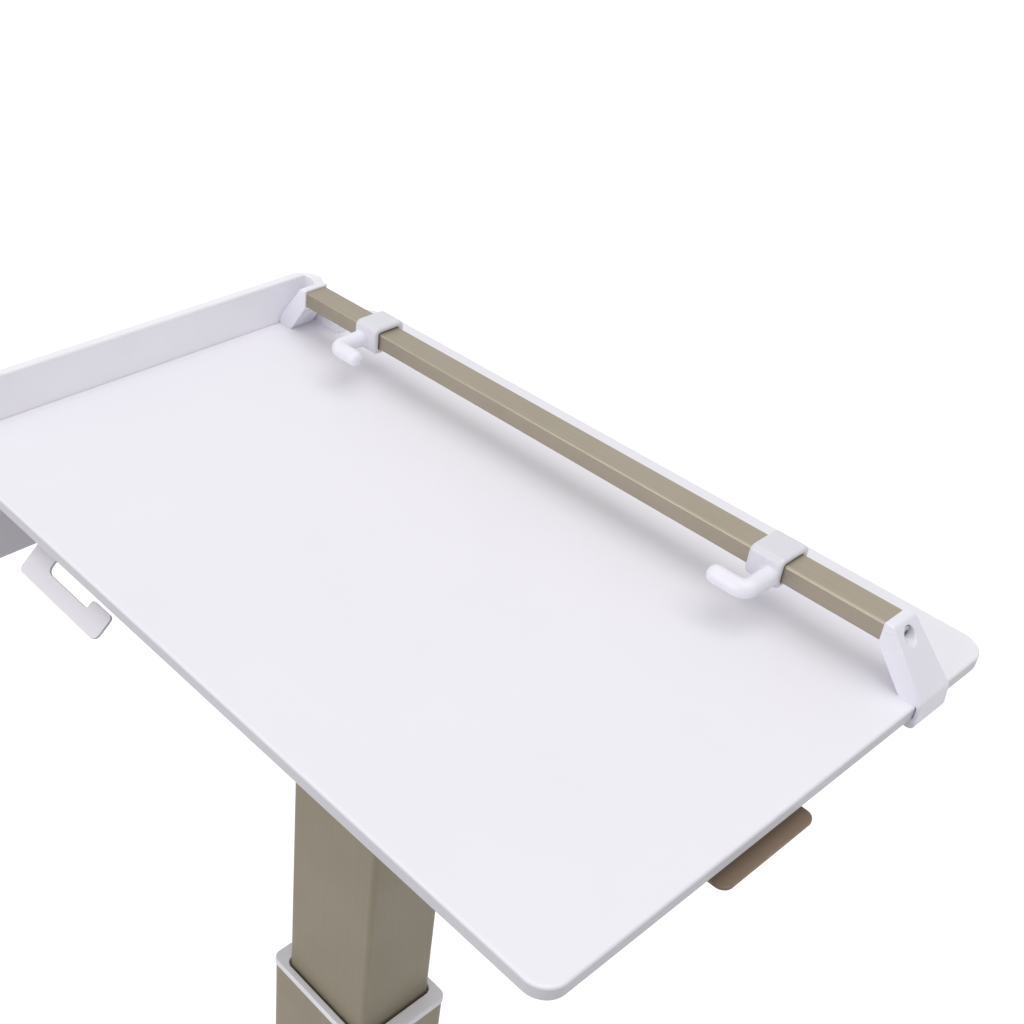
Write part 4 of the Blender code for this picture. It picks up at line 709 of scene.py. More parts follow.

# Extruded aluminium, satin anodised in champagne: warm grey with fine die lines along the extrusion.
# The column's copy is coloured darker than the bar's: painted shade for the column under the worktop.
CHAMPAGNE_COLUMN_PAINTED_SHADE = LinedFinish("anodised_champagne_column_painted_shade", "#938A76", "#8B826F", 60.0, 0.50, 0.010,
                               0.46, 0.03, metallic=0.35, grain=Grain.ALONG_Z, line_share=0.09)
CHAMPAGNE_BAR = LinedFinish("anodised_aluminium_champagne_bar", "#ABA292", "#A19888", 40.0, 0.50, 0.010,
                            0.37, 0.03, metallic=0.9, grain=Grain.ALONG_X, line_share=0.10)

# Fine-texture powder coat in taupe: a matt, dry-looking surface with pin-head relief.
TAUPE_POWDER = Finish("powder_coat_taupe_fine_texture", "#8A7664", "#816E5C", 25.0, 0.70, 0.050, 0.58, 0.06)

# Zinc plated and blue passivated steel: cloudy patches and a soft metal gloss.
ZINC_PLATE = Finish("steel_zinc_plated", "#C2C4C6", "#AEB2B8", 5.0, 0.90, 0.012, 0.32, 0.08, metallic=1.0)

# Black oxide on steel: nearly black with a thin oily gloss.
BLACK_OXIDE = Finish("steel_black_oxide", "#2B2B2D", "#222224", 3.0, 0.60, 0.010, 0.42, 0.08, metallic=1.0)

# Hard chrome on a ground rod: a clean mirror with only a trace of grinding.
HARD_CHROME = LinedFinish("steel_hard_chromed", "#D4D6D8", "#CDD0D2", 15.0, 0.40, 0.002, 0.08, 0.02,
                          metallic=1.0, line_colour="#9A9CA0", line_share=0.10)

# Natural acetal, machined: creamy white and slightly waxy.
ACETAL = Finish("acetal_natural", "#DDDBD2", "#D5D3CA", 12.0, 0.50, 0.010, 0.46, 0.05, ior=1.48, coat=0.1)

# Glass-filled nylon: mid grey, with the dull mottling that the fibres leave at the surface.
NYLON = ScuffedFinish("nylon_glass_filled_grey", "#8D8D91", "#828287", 14.0, 0.80, 0.030, 0.50, 0.06,
                      ior=1.53, scuff_share=0.22)

# Cast polyurethane tread: soft dark grey, dusty where it rolls.
POLYURETHANE = ScuffedFinish("polyurethane_cast_grey", "#5C5D60", "#535457", 10.0, 0.50, 0.020, 0.62, 0.06,
                             scuff_colour="#8E8D89", scuff_mm=4.0)


def dressed(solid: Solid, name: str, finish: Finish, body: str, slot: str, *nodes: str) -> bpy.types.Object:
    """Turn a solid into a finished piece that stands for CAD nodes.

    Args:
        solid: the piece's shape, which is used up.
        name: the piece's name.
        finish: its surface.
        body: the CAD body that it rides on.
        slot: the record's material slot; not used.
        nodes: the CAD nodes that it replaces.

    Returns:
        The piece.
    """
    return settled(solid.as_object(name), finish, body, slot, *nodes)


def settled(piece: bpy.types.Object, finish: Finish, body: str, slot: str, *nodes: str) -> bpy.types.Object:
    """Shade a piece smooth, give it its finish and hand it to its body.

    Args:
        piece: the piece, in place.
        finish: its surface.
        body: the CAD body that it rides on.
        slot: the record's material slot; not used.
        nodes: the CAD nodes that it replaces.

    Returns:
        The piece.
    """
    piece.data.shade_smooth()
    piece.data.set_sharp_from_angle(angle=SHARP_ANGLE)
    weighted = piece.modifiers.new("weighted", "WEIGHTED_NORMAL")
    weighted.keep_sharp = True
    piece.data.materials.clear()
    piece.data.materials.append(finish.material())
    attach(piece, body)
    if nodes:
        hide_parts(*nodes)
    LOG.info("%s on %s", piece.name, body)
    return piece


def repaint(node: str, finish: Finish) -> None:
    """Give a CAD node whose shape is already right its finish.

    Args:
        node: the CAD node's name.
        finish: its surface.
    """
    piece = frame["nodes"][node]
    for slot in piece.material_slots:
        slot.material = finish.material()
    LOG.info("%s keeps its solid", node)


# Worktop and side panel


@dataclass
class Worktop:
    """The film-covered panel with large rounded corners and softened edges."""

    front_radius: float = 13.0 * MM
    rear_radius: float = 16.0 * MM
    rear_left_radius: float = 50.0 * MM
    top_round: float = 1.8 * MM
    bottom_round: float = 1.0 * MM

    def build(self) -> None:
        """Build the panel from the CAD worktop's box."""
        low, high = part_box("worktop")
        corners = [(high.x, low.y, self.front_radius), (high.x, high.y, self.rear_radius),
                   (low.x, high.y, self.rear_left_radius), (low.x, low.y, 0.0)]
        panel = Solid.prism(rounded(corners, 16), Plane.XY, low.z, high.z)

        def free(height: float) -> EdgeTest:
            """Return a test for a level edge at a height that isn't butted against the side panel."""
            level = level_at(height)
            return lambda edge: level(edge) and not all(abs(v.co.x - low.x) < TOUCH for v in edge.verts)

        panel.round_edges(self.top_round, 5, free(high.z))
        panel.round_edges(self.bottom_round, 3, free(low.z))
        dressed(panel, "worktop_panel", VINYL_FILM, "lift", "white_laminate", "worktop")


@dataclass
class SidePanel:
    """The moulded wall at the left: a fence that turns in at the rear, and a skirt below the worktop."""

    thickness: float = 7.5 * MM
    return_radius: float = 16.0 * MM
    return_reach: float = 32.0 * MM
    inside_radius: float = 1.8 * MM
    rim_round: float = 2.4 * MM
    skirt_radius: float = 12.0 * MM
    fence_height: float = 33.0 * MM
    edge_round: float = 1.2 * MM

    def build(self) -> None:
        """Build the wall from the CAD side panel's box."""
        low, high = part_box("side_panel")
        worktop_low, worktop_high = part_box("worktop")
        top = high.z
        over = worktop_high.z - SEAT_DEPTH
        inner = low.x + self.thickness
        end = low.x + self.return_radius + self.return_reach
        turn = high.y - self.return_radius
        front_of_return = high.y - self.thickness
        plan = [(inner, low.y, 0.0), (inner, front_of_return, self.inside_radius),
                (end, front_of_return, 0.0), (end, high.y, 0.0), (low.x, high.y, self.return_radius),
                (low.x, low.y, 0.0)]
        fence = Solid.prism(rounded(plan), Plane.XY, over, top)
        slope = [(low.x + self.return_radius, top), (end + MM, worktop_high.z + self.fence_height / 4.0),
                 (end + MM, top + self.fence_height), (low.x + self.return_radius, top + self.fence_height)]
        fence.cut(Solid.prism(slope, Plane.XZ, turn, high.y + MM))
        join = worktop_high.z + self.fence_height / 3.0
        skirt = [(low.y, low.z, self.skirt_radius), (turn, low.z, self.skirt_radius), (turn, join, 0.0),
                 (low.y, join, 0.0)]
        fence.united(Solid.prism(rounded(skirt), Plane.YZ, low.x, inner))
        bmesh.ops.dissolve_limit(fence.mesh, angle_limit=math.radians(1.0), verts=fence.mesh.verts,
                                 edges=fence.mesh.edges)

        def on_rim(edge: bmesh.types.BMEdge) -> bool:
            """Tell whether an edge lies on the fence's upper rim."""
            return all(vert.co.z > join + 1e-4 for vert in edge.verts) and abs(
                edge.verts[0].co.z - edge.verts[1].co.z) < 0.8 * edge.calc_length()

        fence.round_edges(self.rim_round, 5, on_rim)

        def on_skirt(edge: bmesh.types.BMEdge) -> bool:
            """Tell whether an edge outlines the skirt below the worktop."""
            return all(vert.co.z < worktop_low.z for vert in edge.verts)

        fence.round_edges(self.edge_round, 3, on_skirt)
        dressed(fence, "side_panel_moulding", MOULDED_ABS, "lift", "white_moulding", "side_panel")


# Security bar, brackets and hooks


@dataclass
class SecurityBar:
    """The anodised bar between the end brackets."""

    edge_radius: float = 1.4 * MM

    def build(self) -> None:
        """Build the bar from the CAD bar's box."""
        low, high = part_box("security_bar")
        size = high - low
        centre = ((low.y + high.y) / 2.0, (low.z + high.z) / 2.0)
        section = rectangle(size.y, size.z, self.edge_radius, centre, 6)
        bar = Solid.prism(section, Plane.YZ, low.x, high.x)
        dressed(bar, "security_bar_extrusion", CHAMPAGNE_BAR, "lift", "champagne_anodised", "security_bar")


@dataclass
class EndBracket:
    """A moulded bracket that holds one end of the bar and clips round the worktop's edge."""

    side: float
    inboard: float
    web: float
    flare: float
    name: str
    top_width: float = 5.5 * MM
    top_cover: float = 1.5 * MM
    chin: float = 0.5 * MM
    slope: float = 1.34
    foot: float = 10.5 * MM
    lip_wall: float = 2.2 * MM
    lip_thickness: float = 6.3 * MM
    front_margin: float = 1.5 * MM
    rear_margin: float = 1.5 * MM
    skin: float = 0.45 * MM
    skin_passes: int = 14
    screw_hole: float = 4.5 * MM
    screw_depth: float = 5.5 * MM
    hole_reach: float = 30.0 * MM

    def build(self) -> None:
        """Build the bracket round the CAD bar's end."""
        bar_low, bar_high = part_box("security_bar")
        worktop_low, worktop_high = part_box("worktop")
        top = bar_high.z + self.top_cover
        foot_z = worktop_high.z - SEAT_DEPTH
        lip_z = worktop_low.z - SEAT_GAP
        bottom = lip_z - self.lip_thickness
        outer = self.web + self.lip_wall
        crest = self.inboard + self.top_width
        shoulder = top - (outer - crest) * self.slope
        corners = [(self.inboard, top, 0.0), (self.inboard, bar_low.z - self.chin, 0.0),
                   (self.web - self.foot, foot_z, 0.0), (self.web, foot_z, 0.0), (self.web, lip_z, 0.0),
                   (self.web - self.foot, lip_z, 0.0), (self.web - self.foot, bottom, 1.0 * MM),
                   (outer, bottom, 3.0 * MM), (outer, shoulder, 5.0 * MM), (crest, top, 3.0 * MM)]
        outline = [(self.side * u, v) for u, v in rounded(corners, 8)]
        front = bar_low.y - self.front_margin
        rear = bar_high.y + self.rear_margin
        middle = (bar_low.y + bar_high.y) / 2.0
        body = Solid.prism(outline, Plane.XZ, front, rear)
        for vert in body.mesh.verts:
            if vert.co.y > middle:
                vert.co.y = rear + self.flare * (top - vert.co.z) / (top - bottom)
        seat = self.inboard + self.screw_depth
        axis = Axis.RIGHT if self.side > 0.0 else Axis.LEFT
        hole = [(0.0, 0.0), (self.screw_hole, 0.0), (self.screw_hole, self.hole_reach),
                (0.0, self.hole_reach)]
        centre = (self.side * seat, middle, (bar_low.z + bar_high.z) / 2.0)
        body.cut(Solid.turned(hole, axis, centre))
        body.melted(self.skin, self.skin_passes)
        dressed(body, "bracket_" + self.name, POLISHED_ABS, "lift", "white_moulding",
                "end_bracket_" + self.name)


@dataclass
class Hook:
    """A soft-edged moulded hook: a sleeve round the bar with an arm and an inward finger."""

    side: float
    name: str
    wall: float = 3.5 * MM
    margin: float = 0.4 * MM
    bore_radius: float = 1.2 * MM
    sleeve_radius: float = 4.2 * MM
    sleeve_length: float = 21.5 * MM
    sleeve_round: float = 1.8 * MM
    rear_wall: float = 4.8 * MM
    arm_radius: float = 6.0 * MM
    finger_radius: float = 5.5 * MM
    bend: float = 5.7 * MM
    arm_offset: float = 4.9 * MM
    arm_drop: float = 2.9 * MM
    root_flare: float = 0.3 * MM
    reach: float = 25.2 * MM
    finger: float = 24.3 * MM
    tip_depth: float = 4.6 * MM
    skin: float = 0.5 * MM
    skin_passes: int = 10

    def spine(self, x: float, start: float, elbow: float) -> list[Station]:
        """Return the centre line of the arm and the finger.

        Args:
            x: the arm's place along the bar.
            start: where the arm leaves the sleeve.
            elbow: where the finger runs.

        Returns:
            (x, y, radius) stations from the sleeve to the finger's domed tip.
        """
        stations = []
        for step in range(5):
            angle = math.radians(22.5 * step)
            stations.append((x, start - 2.0 * self.root_flare * (1.0 - math.cos(angle)),
                             self.arm_radius + self.root_flare * (1.0 - math.sin(angle))))
        for step in range(11):
            angle = math.radians(9.0 * step)
            stations.append((x - self.side * self.bend * (1.0 - math.cos(angle)),
                             elbow + self.bend * (1.0 - math.sin(angle)),
                             self.bend + (self.finger_radius - self.bend) * step / 10.0))
        dome = self.finger - self.tip_depth
        for step in range(7):
            angle = math.radians(14.0 * step)
            stations.append((x - self.side * (dome + self.tip_depth * math.sin(angle)), elbow,
                             self.finger_radius * math.cos(angle)))
        return stations

    def build(self) -> None:
        """Build the hook where the CAD set screw shows that its sleeve sits."""
        low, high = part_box("security_bar")
        middle = box_centre("hook_set_screw_" + self.name).x
        centre = ((low.y + high.y) / 2.0, (low.z + high.z) / 2.0)
        depth, height = high.y - low.y, high.z - low.z
        inner = 2.0 * self.margin
        outer = 2.0 * (self.margin + self.wall)
        half = self.sleeve_length / 2.0
        extra = self.rear_wall - self.wall
        sleeve = Solid.tube(rectangle(depth + outer + extra, height + outer, self.sleeve_radius,
                                      (centre[0] + extra / 2.0, centre[1]), 6),
                            rectangle(depth + inner, height + inner, self.bore_radius, centre, 6),
                            middle - half, middle + half, Plane.YZ)
        beyond = (depth / 2.0 + self.wall / 2.0, height / 2.0 + self.wall / 2.0)
        sleeve.round_edges(self.sleeve_round, 4, lambda edge: any(
            abs(v.co.y - centre[0]) > beyond[0] or abs(v.co.z - centre[1]) > beyond[1] for v in edge.verts))
        x = middle + self.side * self.arm_offset
        z = centre[1] - self.arm_drop
        start = low.y - self.margin - self.wall / 2.0
        elbow = low.y - self.reach
        sleeve.united(Solid.swept(self.spine(x, start, elbow), z))
        sleeve.melted(self.skin, self.skin_passes)
        dressed(sleeve, "hook_moulding_" + self.name, HOOK_ABS_PAINTED_SHADE, "hook_" + self.name + "_slider",
                "white_moulding", "hook_" + self.name)


# Lift lever and mouse tray


@dataclass
class LiftLever:
    """The bent lever under the worktop's front edge, with a finger slot and a short upstand."""

    width: float = 84.8 * MM
    arm_width: float = 20.8 * MM
    upstand_width: float = 20.2 * MM
    sheet: float = 3.0 * MM
    steel: float = 1.9 * MM
    tilt: float = math.radians(41.0)
    paddle: float = 18.8 * MM
    slot_depth: float = 7.8 * MM
    upstand_top: float = 1.6 * MM
    setback: float = 7.1 * MM
    barrel: float = 5.0 * MM
    edge_round: float = 0.7 * MM

    def build(self) -> None:
        """Build the lever about the CAD lever's pivot."""
        pin = box_centre("lever_pin")
        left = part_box("lift_lever")[0].x
        bend_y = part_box("worktop")[0].y + self.setback
        right = left + self.width
        slot_left, slot_right = left + self.arm_width, right - self.upstand_width
        corners = [(left, -self.sheet, 0.0), (slot_left, -self.sheet, 0.0),
                   (slot_left, self.slot_depth, 4.5 * MM), (slot_right, self.slot_depth, 1.5 * MM),
                   (slot_right, self.upstand_top, 2.5 * MM), (right, self.upstand_top, 3.0 * MM),
                   (right, self.paddle, 5.0 * MM), (left, self.paddle, 4.0 * MM)]
        half = self.sheet / 2.0
        paddle = Solid.prism(rounded(corners), Plane.XY, half - self.steel, half)
        flip = Matrix.Scale(-1.0, 4, (0.0, 1.0, 0.0))
        bend = Matrix.Translation((0.0, bend_y, pin.z))
        paddle.moved(bend @ Matrix.Rotation(self.tilt, 4, "X") @ flip)
        arm = [(left, bend_y), (slot_left, bend_y), (slot_left, pin.y), (left, pin.y)]
        paddle.united(Solid.prism(arm, Plane.XY, pin.z + half - self.steel, pin.z + half))
        paddle.round_edges(self.edge_round, 3)
        middle = (left + slot_left) / 2.0
        reach = self.arm_width / 2.0
        barrel = Solid.turned([(0.0, -reach), (self.barrel, -reach), (self.barrel, reach), (0.0, reach)],
                              Axis.RIGHT, (middle, pin.y, pin.z))
        paddle.united(barrel)
        dressed(paddle, "lift_lever_blade", WHITE_POWDER, "lever", "white_powder_coat", "lift_lever")


@dataclass
class MouseTray:
    """The sliding steel tray, whose pull tab shows below the worktop's right edge."""

    body_length: float = 157.5 * MM
    tab_width: float = 73.6 * MM
    corner_radius: float = 6.0 * MM
    tab_radius: float = 6.0 * MM
    neck_radius: float = 3.0 * MM
    edge_round: float = 0.5 * MM
    shank: float = 2.9 * MM
    travel: float = 125.0 * MM

    def build(self) -> None:
        """Build the tray from the CAD tray's box."""
        low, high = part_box("mouse_tray")
        outer = low.x + self.body_length
        y = (low.y + high.y) / 2.0
        half = (high.y - low.y) / 2.0
        tab = self.tab_width / 2.0
        corners = [(low.x, y - half, self.corner_radius), (outer, y - half, self.corner_radius),
                   (outer, y - tab, self.neck_radius), (high.x, y - tab, self.tab_radius),
                   (high.x, y + tab, self.tab_radius), (outer, y + tab, self.neck_radius),
                   (outer, y + half, self.corner_radius), (low.x, y + half, self.corner_radius)]
        tray = Solid.prism(rounded(corners), Plane.XY, low.z, high.z)
        stop = box_centre("tray_stop_screw").x
        length = self.travel + 2.0 * self.shank
        centre = (stop + self.shank - length / 2.0, y)
        slot = rectangle(length, 2.0 * self.shank, 0.98 * self.shank, centre, 8)
        tray.cut(Solid.prism(slot, Plane.XY, low.z - MM, high.z + MM))
        tray.round_edges(self.edge_round, 2)
        dressed(tray, "mouse_tray_plate", TAUPE_POWDER, "mouse_tray_slider", "taupe_powder_coat",
                "mouse_tray")


# Column


@dataclass
class Column:
    """The telescoping column of two extrusions, with a collar where they meet."""

    inner_radius: float = 4.2 * MM
    outer_radius: float = 6.4 * MM
    inner_wall: float = 3.0 * MM
    outer_wall: float = 3.5 * MM
    collar_gap: float = 1.6 * MM
    collar_overhang: float = 0.8 * MM
    collar_round: float = 1.0 * MM
    end_round: float = 0.4 * MM
    seat_gap: float = 0.3 * MM
    running_gap: float = 0.4 * MM

    def section(self, node: str, radius: float, inset: float = 0.0) -> Outline:
        """Return a CAD node's plan outline about the column's axis, drawn in by an inset."""
        size = box_size(node)
        return rectangle(size.x - 2.0 * inset, size.y - 2.0 * inset, radius - inset)

    def build(self) -> None:
        """Build both extrusions and the collar."""
        for node, radius, wall, body in (("inner_column", self.inner_radius, self.inner_wall, "lift"),
                                         ("outer_column", self.outer_radius, self.outer_wall, "base")):
            low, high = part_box(node)
            tube = Solid.tube(self.section(node, radius), self.section(node, radius, wall), low.z, high.z)
            tube.round_edges(self.end_round, 2)
            dressed(tube, node + "_extrusion", CHAMPAGNE_COLUMN_PAINTED_SHADE, body, "champagne_anodised", node)
        low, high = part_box("column_collar")
        collar = Solid.tube(self.section("outer_column", self.outer_radius, -self.collar_overhang),
                            self.section("inner_column", self.inner_radius, -self.collar_gap), low.z, high.z)
        collar.round_edges(self.collar_round, 4)
        dressed(collar, "collar_moulding", MOULDED_ABS, "base", "white_moulding", "column_collar")
        self.glide("upper_glide", "base", self.seat_gap, self.running_gap)
        self.glide("lower_glide", "lift", self.running_gap, self.seat_gap)

    def glide(self, node: str, body: str, outer_gap: float, inner_gap: float) -> None:
        """Build a glide between the extrusions.

        Args:
            node: the CAD glide.
            body: the body that it rides on.
            outer_gap: its clearance to the outer extrusion.
            inner_gap: its clearance to the inner extrusion.
        """
        low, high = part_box(node)
        ring = Solid.tube(self.section("outer_column", self.outer_radius, self.outer_wall + outer_gap),
                          self.section("inner_column", self.inner_radius, -inner_gap), low.z, high.z)
        ring.round_edges(self.end_round, 2)
        dressed(ring, node + "_sleeve", ACETAL, body, "acetal", node)


# Base and casters


@dataclass
class Base:
    """The cast base: four arms that end in round caster pads, and a socket for the column."""

    pad_radius: float = 30.0 * MM
    root_distance: float = 85.0 * MM
    root_half_width: float = 35.0 * MM
    thickness: float = 32.0 * MM
    edge_round: float = 6.0 * MM
    crotch_radius: float = 16.0 * MM
    boss_radius: float = 20.3 * MM
    boss_round: float = 1.5 * MM
    boss_inset: float = 3.0 * MM
    boss_root: float = 8.0 * MM
    bottom_round: float = 1.0 * MM
    trim_round: float = 1.2 * MM
    socket_gap: float = 0.3 * MM
    screw_recess: float = 6.8 * MM
    recess_depth: float = 5.3 * MM
    casters: tuple[str, ...] = ("front_right", "rear_right", "rear_left", "front_left")

    def plan(self) -> Outline:
        """Return the outline of the arms, with filleted crotches between them."""
        swivels = {joint["name"]: joint["pos_m"] for joint in frame["joints"] if "pos_m" in joint}
        corners: list[Corner] = []
        for place in self.casters:
            x, y, _ = swivels["swivel_" + place]
            heading = math.atan2(y, x)
            along = Vector((math.cos(heading), math.sin(heading)))
            across = Vector((along.y, -along.x))
            root = self.root_distance * along
            for side in (1.0, -1.0):
                edge = root + side * self.root_half_width * across
                corners.append((edge.x, edge.y, self.crotch_radius))
                if side < 0.0:
                    continue
                for step in range(17):
                    angle = heading + math.radians(-90.0 + 11.25 * step)
                    corners.append((x + self.pad_radius * math.cos(angle),
                                    y + self.pad_radius * math.sin(angle), 0.0))
        return rounded(corners, 6)

    def build(self) -> None:
        """Build the casting and the trim on its socket."""
        low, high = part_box("base_casting")
        top = low.z + self.thickness
        body = Solid.prism(self.plan(), Plane.XY, low.z, top)
        body.round_edges(self.edge_round, 5, level_at(top))
        body.round_edges(self.bottom_round, 2, level_at(low.z))
        trim = box_size("base_trim")
        boss = Solid.prism(rectangle(trim.x - self.boss_inset, trim.y - self.boss_inset, self.boss_radius),
                           Plane.XY, top - self.boss_root, high.z)
        boss.round_edges(self.boss_round, 3, level_at(high.z))
        body.united(boss)
        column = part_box("outer_column")
        gap = self.socket_gap
        socket = rectangle(column[1].x - column[0].x + 2.0 * gap, column[1].y - column[0].y + 2.0 * gap,
                           Column.outer_radius + gap)
        body.cut(Solid.prism(socket, Plane.XY, column[0].z - gap, high.z + MM))
        for name in ("foot_screw_left", "foot_screw_right"):
            centre = box_centre(name)
            recess = [(0.0, -MM), (self.screw_recess, -MM), (self.screw_recess, self.recess_depth),
                      (0.0, self.recess_depth)]
            body.cut(Solid.turned(recess, Axis.UP, (centre.x, centre.y, low.z), 32))
        dressed(body, "base_casting_arms", WHITE_POWDER, "base", "white_powder_coat", "base_casting")
        trim_low, trim_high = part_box("base_trim")
        outside = rectangle(trim.x, trim.y, self.boss_radius + self.boss_inset / 2.0)
        ring = Solid.tube(outside, socket, trim_low.z, trim_high.z)
        ring.round_edges(self.trim_round, 3)
        dressed(ring, "base_trim_ring", MOULDED_ABS, "base", "white_moulding", "base_trim")


@dataclass
class Caster:
    """A swivel caster: fork, ribbed wheel, tyre and riveted axle, with a brake pedal at the front."""

    place: str
    braked: bool
    wheel_radius: float = 50.0 * MM
    tyre_depth: float = 9.5 * MM
    tyre_width: float = 26.0 * MM
    hub_radius: float = 14.0 * MM
    hub_length: float = 30.0 * MM
    rim_width: float = 22.0 * MM
    rim_depth: float = 4.5 * MM
    web: float = 8.0 * MM
    axle_radius: float = 4.0 * MM
    axle_head: float = 6.5 * MM
    trail: float = 26.0 * MM
    crown_bottom: float = 106.0 * MM
    crown_top: float = 112.0 * MM
    crown_radius: float = 24.0 * MM
    cheek: float = 4.0 * MM
    crown_edge: float = 0.8 * MM
    stem_radius: float = 6.0 * MM
    stem_length: float = 20.0 * MM
    half_gap: float = 15.4 * MM
    boss: float = 11.5 * MM
    ribs: int = 6
    rib_half: float = 1.6 * MM
    shoulder: float = 6.0 * MM
    play: float = 0.4 * MM
    pivot_distance: float = 58.0 * MM
    pivot_angle: float = math.radians(50.0)
    brake_travel: float = math.radians(20.0)
    ear: float = 7.0 * MM
    barrel: float = 4.5 * MM
    trunnion: float = 2.8 * MM
    paddle: float = 32.0 * MM
    plate: float = 4.0 * MM
    plate_round: float = 1.6 * MM
    lug_gap: float = 0.6 * MM
    lug_half: float = 6.0 * MM

    def wheel_core(self) -> Solid:
        """Return the wheel's core with radial ribs on both sides of its web."""
        bore = self.axle_radius + self.play
        rim = self.wheel_radius - self.tyre_depth - SEAT_GAP
        half_hub, half_web, half_rim = self.hub_length / 2.0, self.web / 2.0, self.rim_width / 2.0
        inner = rim - self.rim_depth
        fillet = 1.6 * MM
        half_section = [(bore, half_hub), (self.hub_radius - MM, half_hub), (self.hub_radius, half_hub - MM),
                        (self.hub_radius, half_web + fillet), (self.hub_radius + fillet, half_web),
                        (inner - fillet, half_web), (inner, half_web + fillet), (inner, half_rim - MM),
                        (inner + MM, half_rim), (rim, half_rim)]
        profile = half_section + [(radius, -position) for radius, position in reversed(half_section)]
        core = Solid.turned(profile, Axis.RIGHT, steps=64)
        root, tip = self.hub_radius - MM, inner + MM
        rib = [(root, -self.rib_half), (tip, -self.rib_half), (tip, self.rib_half), (root, self.rib_half)]
        for index in range(self.ribs):
            turn = Matrix.Rotation(2.0 * math.pi * index / self.ribs, 4, "X")
            blade = Solid.prism(rib, Plane.YZ, -half_rim + 1.5 * MM, half_rim - 1.5 * MM)
            core.united(blade.round_edges(0.6 * MM, 2).moved(turn))
        return core

    def tyre(self) -> Solid:
        """Return the tyre, with rounded shoulders and a fine mould line round its tread."""
        seat = self.wheel_radius - self.tyre_depth
        half = self.tyre_width / 2.0
        profile = [(seat, -half)]
        for step in range(7):
            angle = math.radians(15.0 * step)
            profile.append((self.wheel_radius - self.shoulder * (1.0 - math.sin(angle)),
                            -half + self.shoulder * (1.0 - math.cos(angle))))
        profile += [(self.wheel_radius, -1.0 * MM), (self.wheel_radius - 0.35 * MM, -0.4 * MM)]
        profile += [(radius, -position) for radius, position in reversed(profile)]
        return Solid.turned(profile, Axis.RIGHT, steps=72)

    def fork(self) -> Solid:
        """Return the fork: a crown with two cheeks that taper to the axle."""
        rim, edge, stem_top = self.crown_radius, self.crown_edge, self.crown_top + self.stem_length
        crown = Solid.turned([(0.0, self.crown_bottom), (rim - edge, self.crown_bottom),
                              (rim, self.crown_bottom + edge), (rim, self.crown_top - edge),
                              (rim - edge, self.crown_top), (self.stem_radius, self.crown_top),
                              (self.stem_radius, stem_top), (0.0, stem_top)])
        top = (self.crown_bottom + self.crown_top) / 2.0
        half = 0.8 * self.crown_radius
        corners = [(-half, top, 0.0), (-half, top - self.wheel_radius / 2.0, 12.0 * MM),
                   (self.trail - self.boss, self.wheel_radius - self.boss, 0.9 * self.boss),
                   (self.trail + self.boss, self.wheel_radius - self.boss, 0.9 * self.boss),
                   (self.trail + self.boss, self.wheel_radius + self.boss, 6.0 * MM)]
        if self.braked:
            pivot_y, pivot_z = self.brake_pivot()
            ear = self.ear
            corners += [(pivot_y + ear, pivot_z - ear, 0.9 * ear), (pivot_y + ear, pivot_z + ear, 0.9 * ear),
                        (pivot_y - ear, top, 0.0)]
        else:
            corners += [(half, top, 0.0)]
        for side in (-1.0, 1.0):
            faces = sorted((side * self.half_gap, side * (self.half_gap + self.cheek)))
            cheek = Solid.prism(rounded(corners, 8), Plane.YZ, faces[0], faces[1])
            crown.united(cheek.round_edges(0.8 * MM, 3))
        return crown

    def brake_pivot(self) -> Span:
        """Return the (y, z) of the brake's pivot about the swivel axis at floor level."""
        return (self.trail + self.pivot_distance * math.cos(self.pivot_angle),
                self.wheel_radius + self.pivot_distance * math.sin(self.pivot_angle))

    def blade(self, length: float, half_width: float) -> Solid:
        """Return a flat plate that runs out from the brake's pivot, before it is turned."""
        section = rectangle(length, self.plate, self.plate_round, (length / 2.0, 0.0), 6)
        return Solid.prism(section, Plane.YZ, -half_width, half_width)

    def pedal(self) -> Solid:
        """Return the brake pedal about its pivot: barrel, round-edged paddle and lug."""
        reach = self.half_gap + self.cheek
        half = self.half_gap - self.play
        barrel = Solid.turned([(0.0, -reach), (self.trunnion, -reach), (self.trunnion, -half),
                               (self.barrel, -half), (self.barrel, half), (self.trunnion, half),
                               (self.trunnion, reach), (0.0, reach)], Axis.RIGHT, steps=32)
        paddle = self.blade(self.paddle, half - self.play).round_edges(0.6 * MM, 2)
        barrel.united(paddle.moved(Matrix.Rotation(self.brake_travel, 4, "X")))
        lug = self.blade(self.pivot_distance - self.wheel_radius - self.lug_gap, self.lug_half)
        toward_wheel = self.pivot_angle + math.pi + self.brake_travel
        return barrel.united(lug.moved(Matrix.Rotation(toward_wheel, 4, "X")))

    def axle(self) -> Solid:
        """Return the riveted axle across the fork."""
        seat = self.half_gap + self.cheek + SEAT_GAP
        end = seat + 2.0 * MM
        head = self.axle_head
        half = [(0.0, end), (0.45 * head, end), (0.5 * head, end - 0.3 * MM), (0.55 * head, end),
                (0.72 * head, end - 0.2 * MM), (0.92 * head, end - 0.9 * MM), (head, seat),
                (self.axle_radius, seat)]
        profile = half + [(radius, -position) for radius, position in reversed(half)]
        return Solid.turned(profile, Axis.RIGHT, steps=32)

